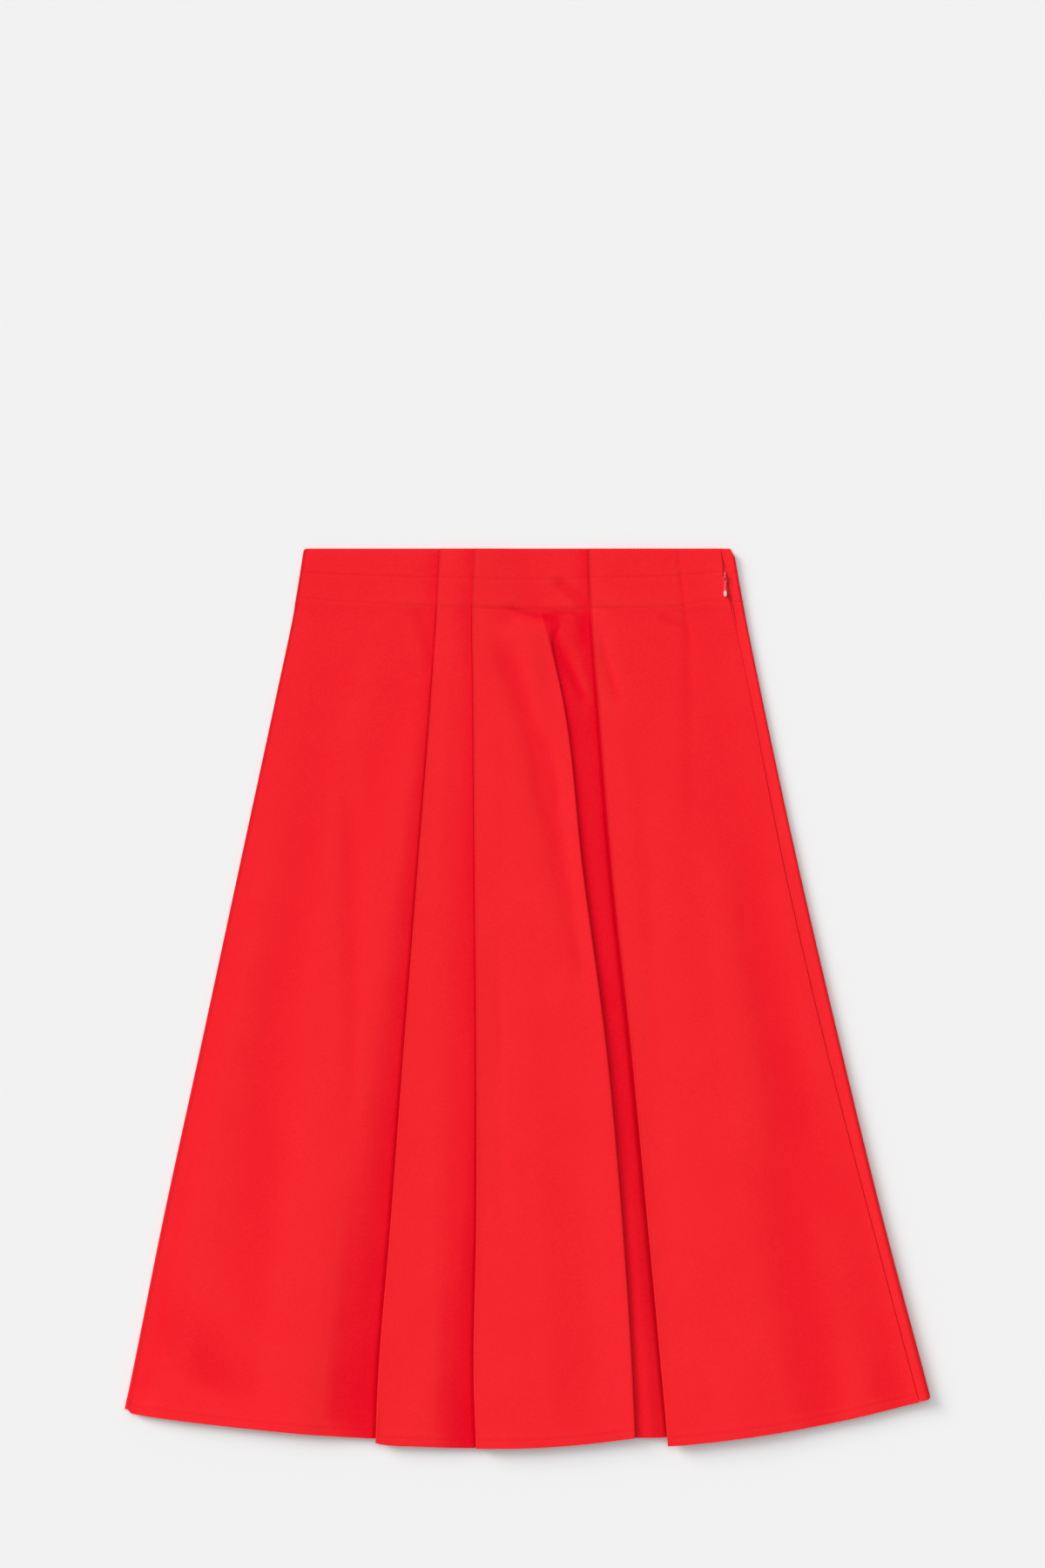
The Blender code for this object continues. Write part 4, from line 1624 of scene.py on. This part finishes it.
@dataclass
class Stitching:
    """The rows of stitches that show on the skirt.

    Args:
        surfaces: The cloth that they lie on, sunk a little into it.
        gap: Between two stitches.
        step: From one point of a row's path to the next.
        fold_clear: How far the waist's rows stop from a fold.
        side_clear: How far they stop from the skirt's sides.
        strip_clear: How far they stop from the edge of the strip beyond the side seam.
        under_clear: How far they stop from the left and the right side on the underside.
        shown_spans: Which of the front's spans show at the hem.
        side_levels: The side row's first level, its last one and the step between its points.
        side_off: How far right of the seam the side row runs.
        tack_stitch: From one of the tack's stitches to the next, and a stitch's length.
    """

    surfaces: Surfaces
    pitch: float = 2.7
    gap: float = 0.55
    thread: float = 0.42
    sunk: float = 0.12
    step: float = 1.5
    fold_clear: float = 0.9
    side_clear: float = 1.5
    strip_clear: float = 1.0
    under_clear: Ends = (12.0, 4.0)
    shown_spans: tuple[int, ...] = (2, 3, 8, 9, 14, 18, 19, 24, 25)
    side_levels: tuple[float, float, float] = (176.0, 692.0, 4.0)
    side_off: float = 1.5
    tack_levels: Ends = (173.4, 175.6)
    tack_ends: Ends = (188.6, 192.0)
    tack_stitch: Ends = (1.1, 1.3)
    finish: ThreadFinish = field(default_factory=ThreadFinish)

    def seated(self, xs: Field, levels: Field, side: Side) -> list[Vector]:
        """Seats a path's points on the cloth."""
        return [self.surfaces.seat(x, b, side, self.sunk * MM) for x, b in zip(xs, levels)]

    def along_row(self, row: Sequence[Point], start: Line, end: Line, side: Side) -> list[Vector]:
        """Seats the stretch of a row between two lines.

        Args:
            row: The row's points.
            start: The line where the stretch starts.
            end: The line where it ends.
            side: The face that it shows on.
        Returns:
            Its path.
        """
        table = np.array(row)
        level = float(np.interp(0.0, *table.T))
        xs = np.arange(float(start(level)), float(end(level)), self.step)
        return self.seated(xs, np.interp(xs, *table.T), side)

    def waist_row(self, row: Sequence[Point]) -> list[list[Vector]]:
        """Seats one of the waist's rows on both faces, broken where it crosses a fold.

        Args:
            row: The row's points.
        Returns:
            A path for each unbroken stretch.
        """
        left, right = LINES.named["left"], LINES.named["right"]
        marks = [*(LINES.named[pleat.edge] for pleat in PLEATS.values()), LINES.front_edge]
        starts = [shifted(left, self.side_clear)] + [shifted(m, self.fold_clear) for m in marks[:-1]]
        ends = [shifted(m, -self.fold_clear) for m in marks]
        paths = [self.along_row(row, a, b, Side.TOP) for a, b in zip(starts, ends)]
        strip = shifted(LINES.strip_edge, self.strip_clear), shifted(right, -self.side_clear)
        under = shifted(left, self.under_clear[0]), shifted(right, -self.under_clear[1])
        return [*paths, self.along_row(row, *strip, Side.TOP), self.along_row(row, *under, Side.UNDER)]

    def hem_row(self, spans: Sequence[Span], side: Side) -> list[list[Vector]]:
        """Seats the hem's row along every span that shows on a face.

        Args:
            spans: The spans that show.
            side: The face.
        Returns:
            A path for each span.
        """
        paths = []
        for span in spans:
            share = span.shares(5 * span.faces)
            below = span.hem_below(share) - HEM_STITCH
            paths.append(self.seated(span.place(share, below)[0][0], below[0], side))
        return paths

    def side_row(self) -> list[list[Vector]]:
        """Seats the row beside the side seam, from the zip's end to the hem."""
        levels = np.arange(*self.side_levels)
        return [self.seated(LINES.named["seam"](levels) + self.side_off, levels, Side.TOP)]

    def tack(self) -> list[list[Vector]]:
        """Seats the two short bars that close the seam at the zip's end."""
        xs = np.linspace(*self.tack_ends, 3)
        return [self.seated(xs, np.full_like(xs, below), Side.TOP) for below in self.tack_levels]

    def build(self) -> None:
        """Makes the rows, a piece for each kind."""
        thread = self.finish.material("red thread")
        row = BeadRow(self.pitch, self.pitch - self.gap, self.thread, self.thread)
        close = BeadRow(*self.tack_stitch, self.thread, self.thread, seed=3)
        front = front_spans()
        shown = [front[n] for n in self.shown_spans]
        hems = self.hem_row(shown, Side.TOP) + self.hem_row(back_spans()[:1], Side.UNDER)
        rows = {
            "waist_stitches": (row, self.waist_row(ROW_ONE) + self.waist_row(ROW_TWO)),
            "hem_stitches": (row, hems),
            "seam_stitches": (row, self.side_row()),
            "zip_tack": (close, self.tack()),
        }
        for name, (beads, paths) in rows.items():
            piece = beads.lay(name, paths, thread)
            dress(piece, Body.SKIRT, Slot.CLOTH)
            LOG.info("%s: %d faces", name, len(piece.data.polygons))


# How square a bar's section is, across and up, where 1 is an ellipse.
SQUARE = (0.7, 0.8)


@dataclass(frozen=True)
class Station:
    """A section of a rounded bar along Y: its place, half width, lowest and highest height."""

    y: float
    half: float
    low: float
    high: float


@dataclass
class SolidForm:
    """The vertices and faces of a piece's closed forms."""

    vertices: list[Vector] = field(default_factory=list)
    faces: list[tuple[int, ...]] = field(default_factory=list)

    def tube(self, rings: Sequence[Sequence[Vector]]) -> None:
        """Adds a closed tube through rings of points.

        Args:
            rings: The rings, in order, all with as many points.
        """
        start, around = len(self.vertices), len(rings[0])
        for ring in rings:
            self.vertices.extend(ring)
        for i in range(len(rings) - 1):
            for j in range(around):
                a, b = start + i * around + j, start + i * around + (j + 1) % around
                self.faces.append((a, b, b + around, a + around))
        self.faces.append(tuple(start + j for j in reversed(range(around))))
        last = start + (len(rings) - 1) * around
        self.faces.append(tuple(last + j for j in range(around)))

    def loft(self, stations: Sequence[Station], around: int) -> None:
        """Adds a rounded bar.

        Args:
            stations: Its sections, in order.
            around: How many points a section has.
        """
        rings = []
        for station in stations:
            middle, height = (station.low + station.high) / 2, station.high - station.low
            ring = []
            for cosine, sine in circle(around):
                x = station.half * math.copysign(abs(cosine) ** SQUARE[0], cosine)
                z = math.copysign(abs(sine) ** SQUARE[1], sine)
                ring.append(Vector((x, station.y, middle + z * height / 2)))
            rings.append(ring)
        self.tube(rings)

    def piece(self, name: str) -> Piece:
        """A mesh piece whose faces are turned outwards.

        Args:
            name: The piece's name.
        Returns:
            The piece.
        """
        mesh = bpy.data.meshes.new(name)
        mesh.from_pydata([tuple(v) for v in self.vertices], [], self.faces)
        work = bmesh.new()
        work.from_mesh(mesh)
        bmesh.ops.recalc_face_normals(work, faces=work.faces)
        work.to_mesh(mesh)
        work.free()
        return linked(name, mesh)


def circle(count: int) -> list[Point]:
    """The cosine and the sine of points round a circle."""
    return [(math.cos(t), math.sin(t)) for t in np.linspace(0, math.tau, count, endpoint=False)]


# The tab's stations: y, half width, lowest and highest height.
TAB = (
    (-3.2, 1.45, -0.42, 0.42), (-3.5, 1.72, -0.45, 0.45), (-4.1, 1.62, -0.45, 0.45),
    (-4.9, 1.25, -0.42, 0.42), (-6.2, 1.06, -0.40, 0.40), (-8.0, 1.08, -0.40, 0.40),
    (-9.8, 1.22, -0.40, 0.42), (-11.4, 1.46, -0.42, 0.48), (-12.9, 1.74, -0.45, 0.56),
    (-14.1, 1.88, -0.45, 0.60), (-15.1, 1.76, -0.45, 0.58), (-15.9, 1.36, -0.42, 0.50),
    (-16.4, 0.80, -0.34, 0.38), (-16.6, 0.25, -0.14, 0.16),
)


@dataclass
class SideZip:
    """The invisible zip: its tapes, its coil and its slider with the pull.

    The slider and the pull are built round the pull's axis, where x and y are 0.

    Args:
        tape_columns: Where the tape's columns lie, from its middle.
        lip: How far its raised middle reaches, raised by lip_height where it is open and closed.
        lip_closing: Over what length it closes, on either side of the slider.
        coil_ends: How far the coil stops from the slider and from the tape's end.
        body_size: The slider's width, length and thickness.
        tip: How blunt its tips are, and the half width that they keep.
        bridge_turn: Where the bridge's arch starts and ends, as shares of half a turn.
        hole: The length and the height of the hole under it.
        arm_half: An arm's half width and half height. The pin's half thickness is the first.
        highlight_facing: How far up a face looks that may get the painted highlight.
    """

    length: float = 176.0
    tape_start: float = 1.0
    tape_rows: int = 90
    tape_columns: tuple[float, ...] = (-9.0, -4.0, -1.5, -0.8, -0.3, 0.0, 0.3, 0.8, 1.5, 3.0, 5.0)
    tape_height: float = 2.3
    tape_wall: float = 0.5
    lip: float = 0.75
    lip_height: Ends = (-0.5, 1.2)
    lip_closing: float = 6.0
    coil_ends: Ends = (5.0, 4.0)
    coil_step: float = 3.0
    coil_height: float = 1.2
    slider_x: float = 161.05
    slider_below: float = 23.2
    axis_height: float = 5.7
    body_size: tuple[float, float, float] = (2.5, 8.6, 0.9)
    body_low: float = 2.8
    crown: float = 0.25
    tip: Ends = (3.2, 0.12)
    bridge_width: float = 1.4
    bridge_metal: float = 0.8
    bridge_turn: Ends = (-0.32, 1.32)
    hole: Ends = (2.6, 1.7)
    arm_x: float = 1.4
    arm_ends: tuple[float, ...] = (0.35, 0.0, -1.6, -3.0, -3.9)
    arm_half: Ends = (0.4, 0.42)
    # The pull's painted highlight: half its width, its ends along y, and how far up its faces look.
    highlight_half: float = 0.9
    highlight_ends: Ends = (-15.6, -11.8)
    highlight_facing: float = 0.3

    def middle(self, below: Field) -> Field:
        """The line midway between the two edges of the slit."""
        return (LINES.front_edge(below) + LINES.strip_edge(below)) / 2

    def tape(self, material: Material) -> Piece:
        """The tape: a flat strip, raised along its middle where its two lips meet.

        Args:
            material: Its finish.
        Returns:
            The piece.
        """
        levels = np.linspace(self.tape_start, self.length, self.tape_rows)
        across = np.array(self.tape_columns)
        closing = self.slider_below - self.lip_closing, self.slider_below + self.lip_closing
        closed = ease(levels, *closing)[:, None]
        raised = np.exp(-((across[None, :] / self.lip) ** 2)) * mix(*self.lip_height, closed)
        x = self.middle(levels)[:, None] + across[None, :]
        y = LENGTH / 2 - levels[:, None] + 0.0 * x
        points = np.stack([x, y, self.tape_height + raised + 0.0 * x], axis=-1)
        none = np.zeros(points.shape[:2])
        maps = np.stack([x, y], axis=-1) * MM
        grid = ClothGrid(points, maps, maps, none + (self.tape_wall - WALL) / 2, none, none)
        piece = grid.solid("zip_tape_cloth")
        piece.data.materials.append(material)
        dress(piece, Body.SKIRT, Slot.TAPE, ("zip_tape",))
        flat = (grid.widest(4), self.length * MM)
        round(grid.flat_area(), 5)
        return piece

    def coil(self, material: Material) -> Piece:
        """The coil's turns, along the closed zip, as they show between the lips.

        Args:
            material: Its finish.
        Returns:
            The piece.
        """
        start, end = self.slider_below + self.coil_ends[0], self.length - self.coil_ends[1]
        levels = np.arange(start, end, self.coil_step)
        height = self.tape_height + self.coil_height
        path = [Vector((a, b, height)) * MM for a, b in zip(self.middle(levels), LENGTH / 2 - levels)]
        beads = BeadRow(0.9, 0.62, 1.3, 0.7, seed=2, uneven=0.03)
        piece = beads.lay("zip_coil", [path], material)
        dress(piece, Body.SKIRT, Slot.TAPE)
        return piece

    def place(self, piece: Piece) -> None:
        """Moves a piece's mesh from the slider's axis to its place, with smooth edges.

        Args:
            piece: The piece, in millimetres round the axis.
        """
        at = Vector((self.slider_x, LENGTH / 2 - self.slider_below, self.axis_height)) * MM
        for vertex in piece.data.vertices:
            vertex.co = vertex.co * MM + at
        piece.data.shade_smooth()

    def slider(self, material: Material) -> Piece:
        """The slider: a boat-shaped body with a bridge that holds the pull.

        Args:
            material: Its finish.
        Returns:
            The piece.
        """
        width, length, thick = self.body_size
        low = self.body_low - self.axis_height
        blunt, least = self.tip
        stations = []
        for share in np.linspace(-1.0, 1.0, 15):
            half = width / 2 * max(1 - abs(share) ** blunt, 0.0) ** 0.5
            crown = self.crown * (1 - share * share)
            stations.append(Station(length / 2 * share, max(half, least), low, low + thick + crown))
        form = SolidForm()
        form.loft(stations, 14)
        arch_y, arch_z = (size / 2 + self.bridge_metal / 2 for size in self.hole)
        rings = []
        for angle in np.linspace(*(share * math.pi for share in self.bridge_turn), 19):
            centre = Vector((0.0, arch_y * math.cos(angle), arch_z * math.sin(angle)))
            out = Vector((0.0, math.cos(angle), math.sin(angle)))
            ring = []
            for cosine, sine in circle(10):
                side = Vector((self.bridge_width / 2 * cosine, 0.0, 0.0))
                ring.append(centre + side + out * (self.bridge_metal / 2 * sine))
            rings.append(ring)
        form.tube(rings)
        piece = form.piece("slider")
        piece.data.materials.append(material)
        self.place(piece)
        dress(piece, Body.SKIRT, Slot.METAL, ("zip_slider",))
        return piece

    def pull(self, material: Material, painted_light: Material) -> Piece:
        """The pull: a pin, two arms and a tab that swells to a teardrop, with a painted highlight on its
        face.

        Args:
            material: Its finish.
            painted_light: The finish of the painted highlight on the teardrop's face.
        Returns:
            The piece.
        """
        form = SolidForm()
        form.loft([Station(*values) for values in TAB], 18)
        wide, high = self.arm_half
        for side in (-1, 1):
            x = side * self.arm_x
            form.tube(
                [[Vector((x + wide * c, y, high * s)) for c, s in circle(8)] for y in self.arm_ends]
            )
        pin = np.linspace(-self.arm_x, self.arm_x, 5)
        form.tube([[Vector((x, wide * c, wide * s)) for c, s in circle(10)] for x in pin])
        piece = form.piece("pull_tab")
        piece.data.materials.append(material)
        piece.data.materials.append(painted_light)
        # Faces in the middle of the teardrop's face take the pale paint, a painted highlight.
        start, end = self.highlight_ends
        for face in piece.data.polygons:
            x, y, _ = face.center
            if face.normal.z > self.highlight_facing and abs(x) < self.highlight_half and start < y < end:
                face.material_index = 1
        self.place(piece)
        dress(piece, Body.PULL, Slot.METAL, ("zip_pull",))
        return piece

    def build(self) -> None:
        """Makes the zip's pieces."""
        tape = TapeFinish().material("zip tape")
        paint = PaintFinish().material("zip paint")
        # A pale paint that stands for a painted highlight on the pull.
        painted_light = PaintFinish((0.80, 0.50, 0.50, 1.0)).material("worn zip paint")
        for piece in (self.tape(tape), self.coil(tape), self.slider(paint), self.pull(paint, painted_light)):
            LOG.info("%s: %d faces", piece.name, len(piece.data.polygons))


def dress(piece: Piece, body: Body, slot: Slot, nodes: tuple[str, ...] = ()) -> None:
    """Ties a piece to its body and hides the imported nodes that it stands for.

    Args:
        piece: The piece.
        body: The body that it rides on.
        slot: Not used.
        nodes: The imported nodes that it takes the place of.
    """
    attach(piece, body.value)
    if nodes:
        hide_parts(*nodes)


# The studio


@dataclass(frozen=True)
class Lamp:
    """A far lamp: its strength, how high it stands, the side it stands on and its softness."""

    strength: float
    elevation: float
    azimuth: float
    softness: float

    def build(self, name: str) -> None:
        """Makes the lamp.

        Args:
            name: The lamp's name.
        """
        light = bpy.data.lights.new(name, "SUN")
        light.energy = self.strength
        light.angle = math.radians(self.softness)
        lamp = bpy.data.objects.new(name, light)
        around, up = math.radians(self.azimuth), math.radians(self.elevation)
        towards = Vector((math.cos(around) * math.cos(up), math.sin(around) * math.cos(up), math.sin(up)))
        lamp.rotation_euler = towards.to_track_quat("Z", "Y").to_euler()
        bpy.context.scene.collection.objects.link(lamp)


@dataclass(frozen=True)
class Studio:
    """A pale floor, soft light from the upper left and a camera straight above."""

    pixel: float = 0.7114 * MM
    picture: tuple[int, int] = (1200, 1800)
    origin_pixel: tuple[float, float] = (606.0, 1145.5)
    lens: float = 100.0
    sensor: float = 36.0
    clip_end: float = 50.0
    floor_size: float = 6.0
    key: Lamp = Lamp(2.42, 27.0, 147.0, 30.0)
    top: Lamp = Lamp(1.15, 74.0, 120.0, 60.0)
    fill_strength: float = 0.33

    def floor(self) -> None:
        """Makes the floor."""
        half = self.floor_size / 2
        mesh = bpy.data.meshes.new("floor")
        corners = [(-half, -half, 0), (half, -half, 0), (half, half, 0), (-half, half, 0)]
        mesh.from_pydata(corners, [], [(0, 1, 2, 3)])
        floor = linked("floor", mesh)
        mesh.materials.append(FloorFinish().material("pale paper"))

    def lights(self) -> None:
        """Makes the key light, the top light and the fill."""
        self.key.build("key")
        self.top.build("top")
        world = bpy.data.worlds.new("fill")
        world.use_nodes = True
        sky = world.node_tree.nodes["Background"]
        sky.inputs["Color"].default_value = (1.0, 1.0, 1.0, 1.0)
        sky.inputs["Strength"].default_value = self.fill_strength
        bpy.context.scene.world = world

    def camera(self) -> None:
        """Makes the camera, which sees the photograph's frame from straight above."""
        width, height = self.picture
        data = bpy.data.cameras.new("camera")
        data.lens, data.sensor_width = self.lens, self.sensor
        data.clip_end = self.clip_end
        distance = height * self.pixel * self.lens / self.sensor
        camera = bpy.data.objects.new("camera", data)
        x = (width / 2 - self.origin_pixel[0]) * self.pixel
        y = (self.origin_pixel[1] - height / 2) * self.pixel
        camera.location = (x, y, distance)
        bpy.context.scene.collection.objects.link(camera)
        bpy.context.scene.camera = camera

    def build(self) -> None:
        """Makes the studio, with colours shown as they are."""
        self.floor()
        self.lights()
        self.camera()
        bpy.context.scene.view_settings.view_transform = "Standard"


def main() -> None:
    """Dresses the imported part."""
    logging.basicConfig(level=logging.INFO, format="%(name)s: %(message)s")
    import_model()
    Studio().build()
    panels = Panels().build()
    surfaces = Surfaces(panels)
    # Painted shade in the cloth's folds, and painted light on its crests.
    ReliefShadeMap().mark(surfaces, panels)
    Stitching(surfaces).build()
    SideZip().build()


if __name__ == "__main__":
    main()
